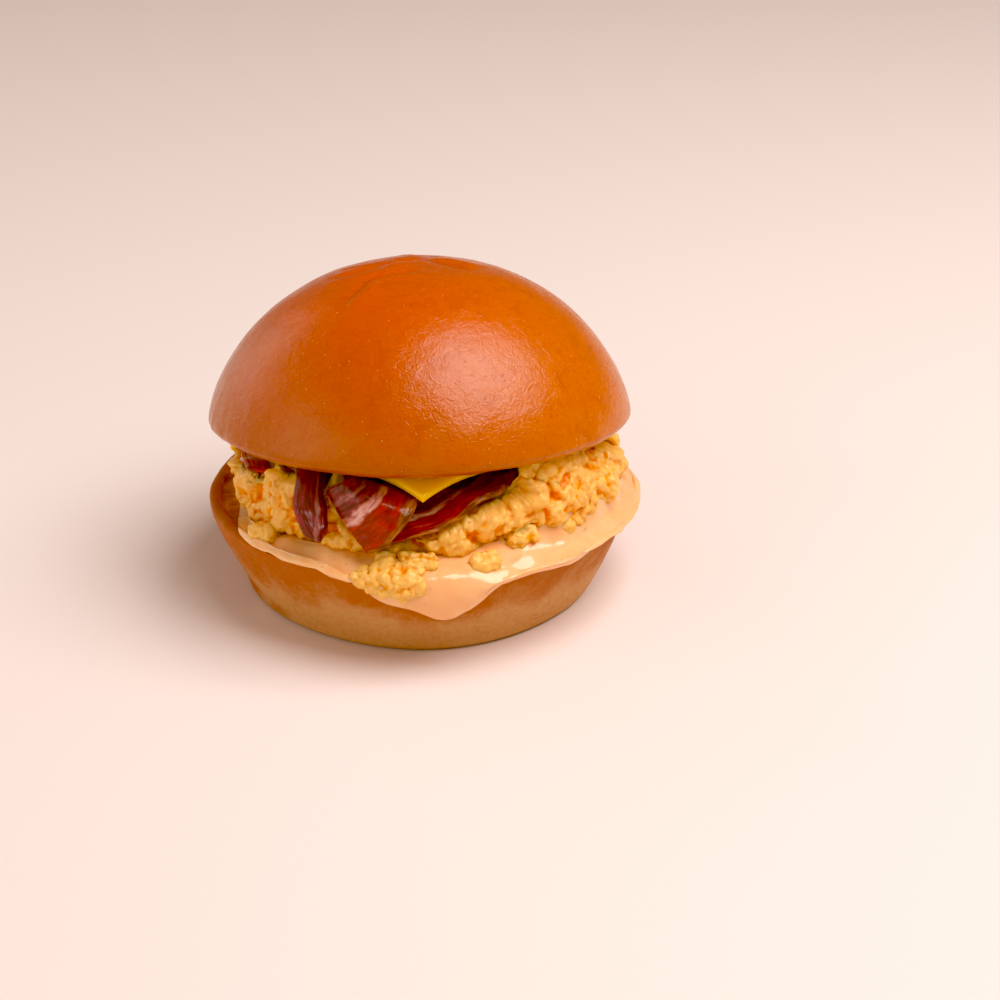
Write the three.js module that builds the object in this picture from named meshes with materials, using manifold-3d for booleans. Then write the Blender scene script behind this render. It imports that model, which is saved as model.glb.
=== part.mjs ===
// A breakfast sandwich in a brioche bun: a glazed crown and a heel of bun, with soft scrambled egg,
// streaky bacon, a slice of cheese and a thick pink sauce between them.
//
// Millimetres, +Z up. The origin is the middle of the heel's flat underside, which rests on the table.
// The front, where the filling shows most, faces -Y. Angles round the sandwich are measured from +X,
// anticlockwise from above, so the front is at -90 degrees and the right-hand side at 0.
//
// From the bottom: heel, sauce, egg, bacon, cheese, crown. Each is one closed solid. The crown leans
// back, because the filling was pushed to the front.
import * as THREE from "three";
import { mergeVertices } from "three/addons/utils/BufferGeometryUtils.js";
import Module from "manifold-3d";

const wasm = await Module();
wasm.setup();

// Driving dimensions, in millimetres and degrees.
const GAP = 0.3; // left between pieces that touch

const HEEL = {
  baseRadius: 45.6,
  baseFillet: 3,
  rimRadius: 56,
  rimHeight: 24.2,
  rimLean: 2, // the rim is this much higher at the front, and lower at the back
  rimRound: 1.1,
  dish: 1.4, // the cut face sinks this far inside the rim
  columns: 60,
};

const CROWN = {
  radius: 55,
  domeHeight: 39.3,
  lipDepth: 4,
  lipInset: 9.5,
  dish: 1.5, // the cut face is hollowed this far at its middle
  centre: new THREE.Vector3(0.5, 0, 46.4), // middle of the widest circle
  leanBack: 9.5,
  leanSide: 0.8,
  columns: 64,
};

const CHEESE = {
  side: 80,
  thickness: 2.4,
  centre: new THREE.Vector2(2.5, 3),
  flatRadius: 43, // the slice lies flat inside this radius, and its corners bend down outside it
  bends: { right: 7.6, back: 3.4, left: 5.6, front: 3 }, // degrees for each millimetre past it
  cells: 12,
};

const BACON = {
  thickness: 1.5,
  rippleHeight: 0.5,
  rippleLength: 19,
  slopeStep: 0.004, // share of its length over which a rasher's direction is taken
  cellLength: 4,
  cellsAcross: 4,
};

const SAUCE = {
  deck: 1.3, // its thickness on the heel's cut face
  bead: 1.9, // its thickness where it hangs over the heel's side
  shoulder: 2.6, // its height over the rim, where it runs out over it
  shoulderInset: 2.5, // how far inside the rim it stands that high
  lip: 0.6, // how wide its top edge is, where it meets the egg
  swell: 0.7, // how far it stands over a straight line from its top edge to its foot elsewhere
  footOver: [55, 57], // its foot lies inside the rim below the first radius, and outside past the second
  root: 4, // how far it is drawn into the heel before the heel is cut away from it
  columns: 60,
};

const EGG = {
  bottomRadius: 54,
  topRadius: 50.5,
  coreInset: 3.6,
  coreLift: 0.5, // the core lies on the sauce with this much more than the gap between pieces
  coreSag: 4.4, // the middle of its top lies this far below its edge
  coreColumns: 36,
  curdRadius: [3.3, 5], // least and most
  curdWave: 0.09, // how far each of the waves on a curd pushes it in and out, as a share of its radius
  curdSpacing: 7.8, // along a row of curds
  rowSpacing: 6, // from one row up to the next
  curdSizes: [1, 0.86, 0.74, 0.62, 0.5], // shares of a curd's radius that are tried where it is tight
  seed: 11,
};

const COLOURS = {
  crust: 0xb4560f,
  heelCrust: 0xc4803a,
  egg: 0xf2b455,
  sauce: 0xf0a873,
  cheese: 0xffb81c,
  bacon: 0x7d1f1c,
};

const turn = THREE.MathUtils.degToRad;

// Small helpers: numbers, curves and closed meshes.

// A repeatable source of numbers from 0 to 1.
function seededRandom(seed) {
  let state = seed >>> 0;
  return () => {
    state = (Math.imul(state, 1664525) + 1013904223) >>> 0;
    return state / 4294967296;
  };
}

// A smooth closed curve of one value round the sandwich: stops is a list of [angle in degrees, value].
function roundCurve(stops) {
  const ordered = [...stops].sort((a, b) => a[0] - b[0]);
  return (angle) => {
    const degrees = THREE.MathUtils.euclideanModulo(THREE.MathUtils.radToDeg(angle) - ordered[0][0], 360);
    let k = ordered.length - 1;
    while (ordered[k][0] - ordered[0][0] > degrees) k -= 1;
    const next = (k + 1) % ordered.length;
    const start = ordered[k][0] - ordered[0][0];
    const end = next === 0 ? 360 : ordered[next][0] - ordered[0][0];
    const share = THREE.MathUtils.smoothstep(degrees, start, end);
    return THREE.MathUtils.lerp(ordered[k][1], ordered[next][1], share);
  };
}

// A geometry from a list of points and a list of triangles.
function geometryOf(points, triangles) {
  const geometry = new THREE.BufferGeometry();
  const values = points.flatMap((p) => [p.x, p.y, p.z]);
  geometry.setAttribute("position", new THREE.Float32BufferAttribute(values, 3));
  geometry.setIndex(triangles.flat());
  return geometry;
}

// A closed solid whose section at each angle is profile(angle), a list of [radius, height] that
// starts and ends on the axis. Every section has the same number of points.
function turnedSolid(profile, columns) {
  const sections = Array.from({ length: columns }, (_, i) => {
    const angle = (i / columns) * 2 * Math.PI;
    return profile(angle).map(([r, z]) => new THREE.Vector3(r * Math.cos(angle), r * Math.sin(angle), z));
  });
  const last = sections[0].length - 1;
  const points = [sections[0][0], sections[0][last]];
  const inner = last - 1;
  for (const section of sections) points.push(...section.slice(1, last));
  const at = (i, k) => 2 + (i % columns) * inner + (k - 1);
  const triangles = [];
  for (let i = 0; i < columns; i++) {
    triangles.push([0, at(i + 1, 1), at(i, 1)], [1, at(i, inner), at(i + 1, inner)]);
    for (let k = 1; k < inner; k++) {
      triangles.push([at(i, k), at(i + 1, k), at(i + 1, k + 1)], [at(i, k), at(i + 1, k + 1), at(i, k + 1)]);
    }
  }
  return geometryOf(points, triangles);
}

// A closed sheet between two grids of points of the same size, both faces split alike.
function sheetSolid(upper, lower) {
  const rows = upper.length;
  const columns = upper[0].length;
  const points = [...upper.flat(), ...lower.flat()];
  const top = (i, j) => i * columns + j;
  const under = (i, j) => rows * columns + top(i, j);
  const triangles = [];
  for (let i = 0; i + 1 < rows; i++) {
    for (let j = 0; j + 1 < columns; j++) {
      triangles.push(
        [top(i, j), top(i + 1, j), top(i + 1, j + 1)],
        [top(i, j), top(i + 1, j + 1), top(i, j + 1)],
      );
      triangles.push(
        [under(i, j), under(i + 1, j + 1), under(i + 1, j)],
        [under(i, j), under(i, j + 1), under(i + 1, j + 1)],
      );
    }
  }
  const rim = [];
  for (let i = 0; i + 1 < rows; i++) rim.push([i, 0]);
  for (let j = 0; j + 1 < columns; j++) rim.push([rows - 1, j]);
  for (let i = rows - 1; i > 0; i--) rim.push([i, columns - 1]);
  for (let j = columns - 1; j > 0; j--) rim.push([0, j]);
  rim.forEach(([i, j], n) => {
    const [k, l] = rim[(n + 1) % rim.length];
    triangles.push([top(i, j), under(k, l), top(k, l)], [top(i, j), under(i, j), under(k, l)]);
  });
  return geometryOf(points, triangles);
}

// A three.js geometry as a solid that can be joined and cut, and back.
function solidOf(geometry) {
  const bare = geometry.clone();
  bare.deleteAttribute("normal");
  bare.deleteAttribute("uv");
  const merged = mergeVertices(bare, 1e-4);
  return new wasm.Manifold(
    new wasm.Mesh({
      numProp: 3,
      vertProperties: merged.attributes.position.array,
      triVerts: new Uint32Array(merged.index.array),
    }),
  );
}

function geometryFrom(solid) {
  const mesh = solid.getMesh();
  const geometry = new THREE.BufferGeometry();
  geometry.setAttribute("position", new THREE.BufferAttribute(new Float32Array(mesh.vertProperties), 3));
  geometry.setIndex(new THREE.BufferAttribute(new Uint32Array(mesh.triVerts), 1));
  return geometry;
}

// The largest body of a solid, without the loose scraps that a cut leaves.
function largestBody(solid) {
  return solid.decompose().reduce((best, body) => (body.volume() > best.volume() ? body : best));
}

// The bun.

// Hand-shaped dough is never quite round. Shares of the radius.
const heelUneven = (angle) => 1 + 0.013 * Math.cos(2 * (angle + turn(62))) + 0.006 * Math.cos(5 * angle + 1);
const crownUneven = (angle) => 1 + 0.006 * Math.cos(3 * angle + 0.7) + 0.004 * Math.cos(5 * angle + 2);

const rimHeightAt = (angle) => HEEL.rimHeight - HEEL.rimLean * Math.sin(angle);

// Height of the heel's cut face, inside its rim.
function cutFaceAt(angle, r) {
  return HEEL.rimHeight - HEEL.dish - (HEEL.rimLean * r * Math.sin(angle)) / HEEL.rimRadius;
}

// The heel's side: nearly a cone, with a slight belly. share is 0 at the table and 1 at the rim.
function heelSideRadius(share) {
  return THREE.MathUtils.lerp(HEEL.baseRadius, HEEL.rimRadius, 1 - (1 - share) ** 1.3);
}

function heelProfile(angle, grow) {
  const { baseFillet, rimRound, dish } = HEEL;
  const rim = rimHeightAt(angle);
  const points = [[0, -grow]];
  const corner = heelSideRadius(baseFillet / rim) - baseFillet;
  for (const bend of [0, 30, 60]) {
    const t = turn(bend);
    points.push([
      corner + (baseFillet + grow) * Math.sin(t),
      baseFillet - (baseFillet + grow) * Math.cos(t),
    ]);
  }
  for (const share of [0.2, 0.4, 0.6, 0.8, 0.94]) points.push([heelSideRadius(share) + grow, share * rim]);
  points.push([HEEL.rimRadius - rimRound * 0.4 + grow, rim - rimRound * 0.3 + grow * 0.4]);
  points.push([HEEL.rimRadius - rimRound * 1.8, rim + grow]);
  points.push([HEEL.rimRadius - rimRound * 3.4, rim - dish * 0.6 + grow]);
  points.push([HEEL.rimRadius * 0.85, cutFaceAt(angle, HEEL.rimRadius * 0.85) + grow]);
  points.push([0, cutFaceAt(angle, 0) + grow]);
  const uneven = heelUneven(angle);
  return points.map(([r, z]) => [r * uneven, z]);
}

const heelGeometry = (grow = 0) => turnedSolid((angle) => heelProfile(angle, grow), HEEL.columns);

// The crown in its own frame, whose origin is the middle of its widest circle.
function crownProfile(angle, grow) {
  const { radius, domeHeight, lipDepth, lipInset, dish } = CROWN;
  const points = [[0, -lipDepth + dish - grow]];
  points.push([(radius - lipInset) * 0.55, -lipDepth + dish * 0.6 - grow]);
  for (const bend of [88, 55, 25]) {
    const t = turn(bend);
    const r = radius - lipInset * (1 - Math.cos(t)) + grow * Math.cos(t);
    points.push([r, -(lipDepth + grow) * Math.sin(t)]);
  }
  for (const rise of [0, 9, 18, 27, 36, 45, 54, 63, 72, 81]) {
    const t = turn(rise);
    points.push([(radius + grow) * Math.cos(t) ** 0.84, (domeHeight + grow) * Math.sin(t) ** 1.4]);
  }
  points.push([0, domeHeight + grow]);
  const uneven = crownUneven(angle);
  return points.map(([r, z]) => [r * uneven, z]);
}

const crownGeometry = (grow = 0) => turnedSolid((angle) => crownProfile(angle, grow), CROWN.columns);
const crownTurn = new THREE.Euler(-turn(CROWN.leanBack), -turn(CROWN.leanSide), 0);
const crownPlace = new THREE.Matrix4()
  .makeRotationFromEuler(crownTurn)
  .setPosition(CROWN.centre);

// Height of the crown's cut face over a place on the table, taken as a plane.
function ceilingAt(x, y) {
  const fromCentre = y - CROWN.centre.y;
  return (
    CROWN.centre.z -
    CROWN.lipDepth -
    Math.tan(turn(CROWN.leanBack)) * fromCentre +
    Math.tan(turn(CROWN.leanSide)) * (x - CROWN.centre.x)
  );
}

// The cheese.

// Degrees of bend for each millimetre past the flat part, blended between the four corners.
const cheeseBendAt = roundCurve([
  [0, CHEESE.bends.right],
  [90, CHEESE.bends.back],
  [180, CHEESE.bends.left],
  [270, CHEESE.bends.front],
]);

// A point of the slice, from its flat place (u, v) measured along its diagonals and its depth below
// the top face. Past the flat part the radius follows an arc of constant bend.
function cheesePoint(u, v, depth) {
  const angle = Math.atan2(v, u);
  const past = Math.max(0, Math.hypot(u, v) - CHEESE.flatRadius);
  const curvature = turn(cheeseBendAt(angle));
  const bend = curvature * past;
  const arc = Math.sin(bend) * (1 / curvature - depth);
  const radius = Math.min(Math.hypot(u, v), CHEESE.flatRadius) + arc;
  const drop = (1 - Math.cos(bend)) / curvature + depth * Math.cos(bend);
  const x = CHEESE.centre.x + radius * Math.cos(angle);
  const y = CHEESE.centre.y + radius * Math.sin(angle);
  return new THREE.Vector3(x, y, ceilingAt(x, y) - GAP - drop);
}

function cheeseGeometry(grow = 0) {
  const { side, thickness, cells } = CHEESE;
  const reach = side / 2 + grow;
  const face = (depth) =>
    Array.from({ length: cells + 1 }, (_, i) =>
      Array.from({ length: cells + 1 }, (_, j) => {
        const a = reach * (2 * (i / cells) - 1);
        const b = reach * (2 * (j / cells) - 1);
        return cheesePoint((a + b) * Math.SQRT1_2, (b - a) * Math.SQRT1_2, depth);
      }),
    );
  return sheetSolid(face(-grow), face(thickness + grow));
}

// The bacon. Each rasher is a ribbon between two long edges, its rind and its inner edge, each a
// smooth curve through a few places.

// Height of the middle of a rasher that lies just under the cheese, or level with it beside the slice.
function rasherLevel(x, y) {
  const { centre, side, thickness, flatRadius } = CHEESE;
  const u = x - centre.x;
  const v = y - centre.y;
  const curvature = turn(cheeseBendAt(Math.atan2(v, u)));
  const bend = Math.asin(Math.min(1, curvature * Math.max(0, Math.hypot(u, v) - flatRadius)));
  const drop = (1 - Math.cos(bend)) / curvature;
  const under = THREE.MathUtils.smoothstep(side * Math.SQRT1_2 - Math.abs(u) - Math.abs(v), -5, 0);
  return ceilingAt(x, y) - 3 * GAP - thickness - BACON.thickness / 2 - BACON.rippleHeight - drop * under;
}

// The folded rasher. Its hairpin fold lies over the egg at the front left, and both leaves run up
// and to the right of it: one in front, which goes in under the cheese, and one behind, which runs
// through to the back.
const FOLDED = {
  rind: [
    [37, 37, -2],
    [35, 12, -2],
    [30, -18, -1.6],
    [21.5, -43, -1],
    [6, -52, 37.6],
    [-6, -52.6, 33.6],
    [-10, -54, 32.6],
    [-7, -55.4, 34.4],
    [-3, -56, 39.4],
    [0, -53.2, 42.4],
    [2.6, -43, -1],
    [6, -22, -0.6],
    [9, 0, 0],
  ],
  inner: [
    [17, 40, -2.6],
    [15, 14, -2.6],
    [11, -12, -2.8],
    [5, -34, -3.6],
    [-8, -44, 40.6],
    [-18.4, -42.8, 42.4],
    [-21.4, -44.2, 44.6],
    [-20.2, -46.8, 47],
    [-17.2, -46.6, 48.6],
    [-16.4, -42, 47.6],
    [-15, -32, -0.4],
    [-12, -16, 0],
    [-9, 4, 0],
  ],
};

// The left rasher hangs over the egg at the front left and runs through to the back.
const LEFT = {
  rind: [
    [-35, 37, 0],
    [-36, 12, 0],
    [-35, -14, 0],
    [-31.6, -33, 45.6],
    [-29.4, -43, 47.6],
    [-29.6, -47.4, 40],
    [-26.6, -49.8, 33.2],
  ],
  inner: [
    [-17, 39, 0],
    [-18.5, 16, 0],
    [-19.5, -8, 0],
    [-21, -29, -1.2],
    [-22.4, -39.6, 44],
    [-21.4, -46, 37.6],
    [-22, -48.8, 32.6],
  ],
};

// The side rasher lies left of it, and only its edge shows below the crown.
const SIDE = {
  rind: [
    [-45, 20, -1],
    [-46, 4, -2.4],
    [-46, -12, -1.4],
    [-43, -25.5, -0.2],
  ],
  inner: [
    [-38, 23, -0.4],
    [-39.5, 6, -0.6],
    [-39, -10, -0.4],
    [-36.6, -27, 0],
  ],
};

// A rasher's edge. The third number of a place is its height, or, where it is not above zero, how
// far it lies below the level just under the cheese.
function edgeCurve(places) {
  const points = places.map(([x, y, z]) => new THREE.Vector3(x, y, z > 0 ? z : rasherLevel(x, y) + z));
  return new THREE.CatmullRomCurve3(points, false, "centripetal");
}

function rasherGeometry({ rind, inner }, grow = 0) {
  const rindCurve = edgeCurve(rind);
  const innerCurve = edgeCurve(inner);
  const length = rindCurve.getLength();
  const steps = Math.round(length / BACON.cellLength);
  const middle = (t, s) => {
    const a = rindCurve.getPoint(t);
    return a.lerp(innerCurve.getPoint(t), s);
  };
  const half = BACON.thickness / 2 + grow;
  const upper = [];
  const lower = [];
  for (let i = 0; i <= steps; i++) {
    const t = i / steps;
    const upperRow = [];
    const lowerRow = [];
    for (let j = 0; j <= BACON.cellsAcross; j++) {
      const width = middle(t, 0).distanceTo(middle(t, 1));
      const s = THREE.MathUtils.lerp(-grow / width, 1 + grow / width, j / BACON.cellsAcross);
      const point = middle(t, s);
      const ahead = middle(Math.min(1, t + BACON.slopeStep), s);
      const along = ahead.sub(middle(Math.max(0, t - BACON.slopeStep), s)).normalize();
      const across = middle(t, 1).sub(middle(t, 0));
      const normal = new THREE.Vector3().crossVectors(along, across).normalize();
      const ripple = Math.sin(2 * Math.PI * ((t * length) / BACON.rippleLength + s / 4));
      point.addScaledVector(normal, BACON.rippleHeight * ripple);
      if (i === 0) point.addScaledVector(along, -grow);
      if (i === steps) point.addScaledVector(along, grow);
      upperRow.push(point.clone().addScaledVector(normal, half));
      lowerRow.push(point.clone().addScaledVector(normal, -half));
    }
    upper.push(upperRow);
    lower.push(lowerRow);
  }
  return sheetSolid(upper, lower);
}

// The sauce: a layer on the heel's cut face. At the front and right it lies thick round the egg and
// runs out over the rim, lowest in one broad drip at the front.

// Its top edge, where it meets the egg, and its foot, where it ends. Where the foot lies well inside
// the rim, the sauce ends on the cut face.
const sauceTop = {
  radius: roundCurve([
    [-150, 49.5],
    [-120, 50],
    [-90, 48.5],
    [-62, 49.5],
    [-40, 51.5],
    [-15, 52],
    [28, 50],
    [100, 49],
  ]),
  height: roundCurve([
    [-160, 25.4],
    [-150, 26.6],
    [-125, 30],
    [-90, 30],
    [-62, 31.5],
    [-42, 36],
    [-15, 35],
    [28, 26.5],
    [100, 23.4],
  ]),
};
const footHeight = roundCurve([
  [-160, 23],
  [-150, 24.8],
  [-126, 27],
  [-112, 27],
  [-104, 23.5],
  [-97, 19.5],
  [-90, 18.4],
  [-83, 15.6],
  [-77, 17],
  [-71, 22],
  [-63, 24.6],
  [-50, 23.8],
  [-34, 24],
  [-20, 22],
  [2, 22.5],
  [16, 23.6],
  [30, 21.8],
  [100, 20.6],
]);
const footRadius = roundCurve([
  [-150, 52],
  [-112, 53.6],
  [-101, 57.4],
  [-20, 58.2],
  [4, 57.6],
  [18, 53.6],
  [100, 52],
]);

function sauceFoot(angle) {
  const height = footHeight(angle);
  const share = Math.min(1, height / rimHeightAt(angle));
  const side = heelSideRadius(share) * heelUneven(angle) + SAUCE.bead;
  const radius = footRadius(angle);
  const outside = THREE.MathUtils.smoothstep(radius, ...SAUCE.footOver);
  return new THREE.Vector2(THREE.MathUtils.lerp(radius, Math.max(side, radius), outside), height);
}

// The outside of the sauce at an angle, from its top edge to its foot.
function sauceSection(angle) {
  const top = new THREE.Vector2(sauceTop.radius(angle), sauceTop.height(angle));
  const foot = sauceFoot(angle);
  const rim = new THREE.Vector2(HEEL.rimRadius * heelUneven(angle), rimHeightAt(angle));
  const over = THREE.MathUtils.smoothstep(foot.x - rim.x, -2, 1);
  const swell = new THREE.Vector2(0, SAUCE.swell);
  const inside = [0.4, 0.8].map((share) => top.clone().lerp(foot, share).add(swell));
  const highest = new THREE.Vector2(rim.x - SAUCE.shoulderInset, rim.y + SAUCE.shoulder);
  const shoulder = inside[0].lerp(highest, over);
  const brow = inside[1].lerp(new THREE.Vector2(rim.x + SAUCE.bead, rim.y - 0.4), over);
  return new THREE.SplineCurve([top, shoulder, brow, foot]);
}

function sauceProfile(angle, grow) {
  const deck = GAP + SAUCE.deck + grow;
  const section = sauceSection(angle);
  const outside = [0, 0.2, 0.4, 0.6, 0.8, 1].map((share) => {
    const tangent = section.getTangent(share);
    const point = section.getPoint(share);
    return [point.x - tangent.y * grow, point.y + tangent.x * grow];
  });
  const top = section.getPoint(0);
  const lip = [top.x - SAUCE.lip - 2 * grow, top.y + grow];
  const deckEdge = top.x - SAUCE.root;
  const [footX, footY] = outside.slice(-1)[0];
  return [
    [0, cutFaceAt(angle, 0) - SAUCE.root],
    [footX - SAUCE.root, footY - 0.2 - grow],
    [footX - 0.4, footY - 0.5 - grow],
    ...outside.reverse(),
    lip,
    [deckEdge - 2 * grow, cutFaceAt(angle, deckEdge) + deck],
    [0, cutFaceAt(angle, 0) + deck],
  ];
}

const sauceGeometry = (grow = 0) => turnedSolid((angle) => sauceProfile(angle, grow), SAUCE.columns);

// The egg: a core with curds fused all over its side, each a soft lump of its own shape.

// The mass of egg is not quite round either. Millimetres, from the foot and the top of its side.
const eggUneven = (angle) => 1.4 * Math.cos(angle + turn(30)) + 1.2 * Math.cos(2 * angle);

// Place on the egg's side at a share of the way from the heel (0) to the crown (1).
function eggSide(angle, share, inset) {
  const r = THREE.MathUtils.lerp(EGG.bottomRadius, EGG.topRadius, share) + eggUneven(angle) - inset;
  const low = cutFaceAt(angle, r) + SAUCE.deck + 2 * GAP;
  const high = ceilingAt(r * Math.cos(angle), r * Math.sin(angle)) - GAP;
  return new THREE.Vector3(r * Math.cos(angle), r * Math.sin(angle), THREE.MathUtils.lerp(low, high, share));
}

function eggCoreGeometry() {
  const layers = CHEESE.thickness + BACON.thickness + 4 * GAP;
  const floor = cutFaceAt(0, 0) + SAUCE.deck + 2 * GAP + EGG.coreLift;
  return turnedSolid((angle) => {
    const section = [0.06, 0.45, 0.86].map((share) => {
      const place = eggSide(angle, share, EGG.coreInset);
      return [Math.hypot(place.x, place.y), place.z];
    });
    const innerTop = EGG.topRadius * 0.8;
    return [
      [0, floor],
      ...section,
      [innerTop, ceilingAt(0, innerTop * Math.sin(angle)) - layers - EGG.coreSag],
      [0, ceilingAt(0, 0) - layers - EGG.coreSag],
    ];
  }, EGG.coreColumns);
}

// A soft lump: a ball whose surface is pushed in and out by a few waves.
function curdGeometry(radius, phases, stretch) {
  const ball = new THREE.IcosahedronGeometry(1, 0);
  ball.deleteAttribute("normal");
  ball.deleteAttribute("uv");
  const lump = mergeVertices(ball, 1e-4);
  const position = lump.attributes.position;
  const p = new THREE.Vector3();
  for (let i = 0; i < position.count; i++) {
    p.fromBufferAttribute(position, i);
    const wave =
      Math.sin(2.6 * p.x + phases[0]) + Math.sin(2.9 * p.y + phases[1]) + Math.sin(2.4 * p.z + phases[2]);
    p.multiplyScalar(radius * (1 + EGG.curdWave * wave)).multiply(stretch);
    position.setXYZ(i, p.x, p.y, p.z);
  }
  return lump;
}

// Curds that fell out over the sauce at the front and right: [angle, radius, height, size].
const SPILT = [
  [-101, 51, 31, 4.4],
  [-99, 54.6, 28.6, 4.2],
  [-103, 56.4, 25.4, 3.6],
  [-96, 57, 25, 3.8],
  [-99, 57.6, 22, 3.2],
  [-70, 53, 31, 4],
  [-69, 56, 29.4, 3.2],
];

// The shape of one curd, drawn at random: how it is turned, its waves and its stretch.
function drawCurd(random) {
  const circle = 2 * Math.PI;
  return {
    heading: new THREE.Euler(random() * circle, random() * circle, random() * circle),
    phases: [random() * circle, random() * circle, random() * circle],
    stretch: new THREE.Vector3(0.85 + 0.35 * random(), 0.85 + 0.35 * random(), 0.75 + 0.3 * random()),
  };
}

function curdSolid(place, radius, { heading, phases, stretch }) {
  const placed = new THREE.Matrix4().makeRotationFromEuler(heading).setPosition(place);
  return solidOf(curdGeometry(radius, phases, stretch).applyMatrix4(placed));
}

// The spilt curds, each larger by grow, which lie in hollows of their own in the sauce.
function spiltCurds(grow = 0) {
  const random = seededRandom(EGG.seed);
  return SPILT.map(([degrees, r, z, radius]) => {
    const place = new THREE.Vector3(r * Math.cos(turn(degrees)), r * Math.sin(turn(degrees)), z);
    return curdSolid(place, radius + grow, drawCurd(random));
  });
}

// A curd made smaller until it is clear of its neighbours, or nothing where it can't be.
function fittedCurd(place, radius, shape, neighbours) {
  for (const size of EGG.curdSizes) {
    const lump = curdSolid(place, radius * size, shape);
    if (lump.intersect(neighbours).isEmpty()) return [lump];
  }
  return [];
}

// The curds of the egg's side, in rows from the heel to the crown.
function sideCurds(neighbours) {
  const random = seededRandom(EGG.seed + 1);
  const [least, most] = EGG.curdRadius;
  const columns = Math.round((2 * Math.PI * EGG.bottomRadius) / EGG.curdSpacing);
  const lumps = [];
  for (let i = 0; i < columns; i++) {
    const angle = (i / columns) * 2 * Math.PI;
    const rows = Math.max(1, Math.round((eggSide(angle, 1, 0).z - eggSide(angle, 0, 0).z) / EGG.rowSpacing));
    for (let row = 0; row < rows; row++) {
      const turned = angle + ((0.5 * (row % 2) + 0.4 * random()) / columns) * 2 * Math.PI;
      const radius = THREE.MathUtils.lerp(least, most, random());
      const place = eggSide(turned, (row + 0.4 + 0.25 * random()) / rows, radius * (0.45 + 0.3 * random()));
      const low = eggSide(turned, 0, 0).z + radius;
      const high = eggSide(turned, 1, 0).z - radius;
      place.z = low < high ? THREE.MathUtils.clamp(place.z, low, high) : (low + high) / 2;
      lumps.push(...fittedCurd(place, radius, drawCurd(random), neighbours));
    }
  }
  return lumps;
}

// The assembly.

const roomForHeel = solidOf(heelGeometry(GAP));
const roomForFolded = solidOf(rasherGeometry(FOLDED, GAP));
const roomForSpilt = wasm.Manifold.union(spiltCurds(GAP));
const sauce = largestBody(solidOf(sauceGeometry()).subtract(roomForHeel).subtract(roomForSpilt));

const eggNeighbours = wasm.Manifold.union([
  roomForHeel,
  solidOf(crownGeometry(GAP).applyMatrix4(crownPlace)),
  solidOf(cheeseGeometry(GAP)),
  roomForFolded,
  solidOf(rasherGeometry(LEFT, GAP)),
  solidOf(rasherGeometry(SIDE, GAP)),
  solidOf(sauceGeometry(GAP)),
]);
const eggCore = solidOf(eggCoreGeometry()).subtract(eggNeighbours);
const spilt = wasm.Manifold.union(spiltCurds()).subtract(roomForHeel).subtract(roomForFolded);
const egg = largestBody(wasm.Manifold.union([eggCore, ...sideCurds(eggNeighbours), spilt]));

const finishes = {
  crust: new THREE.MeshStandardMaterial({ color: COLOURS.crust, roughness: 0.25, metalness: 0 }),
  heelCrust: new THREE.MeshStandardMaterial({ color: COLOURS.heelCrust, roughness: 0.55, metalness: 0 }),
  egg: new THREE.MeshStandardMaterial({ color: COLOURS.egg, roughness: 0.45, metalness: 0 }),
  sauce: new THREE.MeshStandardMaterial({ color: COLOURS.sauce, roughness: 0.2, metalness: 0 }),
  cheese: new THREE.MeshStandardMaterial({ color: COLOURS.cheese, roughness: 0.35, metalness: 0 }),
  bacon: new THREE.MeshStandardMaterial({ color: COLOURS.bacon, roughness: 0.3, metalness: 0 }),
};

function named(name, geometry, material) {
  const mesh = new THREE.Mesh(geometry, material);
  mesh.name = name;
  return mesh;
}

const sandwich = new THREE.Group();
sandwich.add(
  named("heel", heelGeometry(), finishes.heelCrust),
  named("sauce", geometryFrom(sauce), finishes.sauce),
  named("egg", geometryFrom(egg), finishes.egg),
  named("bacon_folded", rasherGeometry(FOLDED), finishes.bacon),
  named("bacon_left", rasherGeometry(LEFT), finishes.bacon),
  named("bacon_side", rasherGeometry(SIDE), finishes.bacon),
  named("cheese", cheeseGeometry(), finishes.cheese),
);

const crown = named("crown", crownGeometry(), finishes.crust);
crown.rotation.copy(crownTurn);
crown.position.copy(CROWN.centre);
sandwich.add(crown);

export default sandwich;
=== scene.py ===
"""A breakfast sandwich in a glazed brioche bun, dressed for its photograph.

The pieces are worked out in millimetres in the frame of the CAD model, with the origin in the middle of
the heel's flat underside, +Z up and the front at -Y, and put into their meshes in metres.
"""

import logging
import math
from dataclasses import dataclass, field
from enum import Enum

import bpy
import numpy as np
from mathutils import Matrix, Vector


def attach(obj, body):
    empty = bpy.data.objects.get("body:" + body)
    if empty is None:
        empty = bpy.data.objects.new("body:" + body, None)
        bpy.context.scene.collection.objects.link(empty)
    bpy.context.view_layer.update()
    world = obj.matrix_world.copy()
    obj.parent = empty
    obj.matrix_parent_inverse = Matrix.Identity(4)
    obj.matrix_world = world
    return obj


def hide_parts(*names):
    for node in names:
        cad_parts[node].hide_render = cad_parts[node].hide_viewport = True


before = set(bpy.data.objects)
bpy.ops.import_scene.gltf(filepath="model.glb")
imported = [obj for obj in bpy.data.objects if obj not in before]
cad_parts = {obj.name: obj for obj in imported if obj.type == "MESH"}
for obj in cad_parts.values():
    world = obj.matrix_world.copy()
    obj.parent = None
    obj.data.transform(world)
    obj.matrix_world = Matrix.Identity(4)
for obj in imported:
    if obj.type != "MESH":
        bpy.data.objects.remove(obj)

LOG = logging.getLogger("sandwich")

MM = 0.001
GAP = 0.3
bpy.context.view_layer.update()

Array = np.ndarray
Socket = bpy.types.NodeSocket
Triple = tuple[float, float, float]
Places = tuple[Triple, ...]


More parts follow.
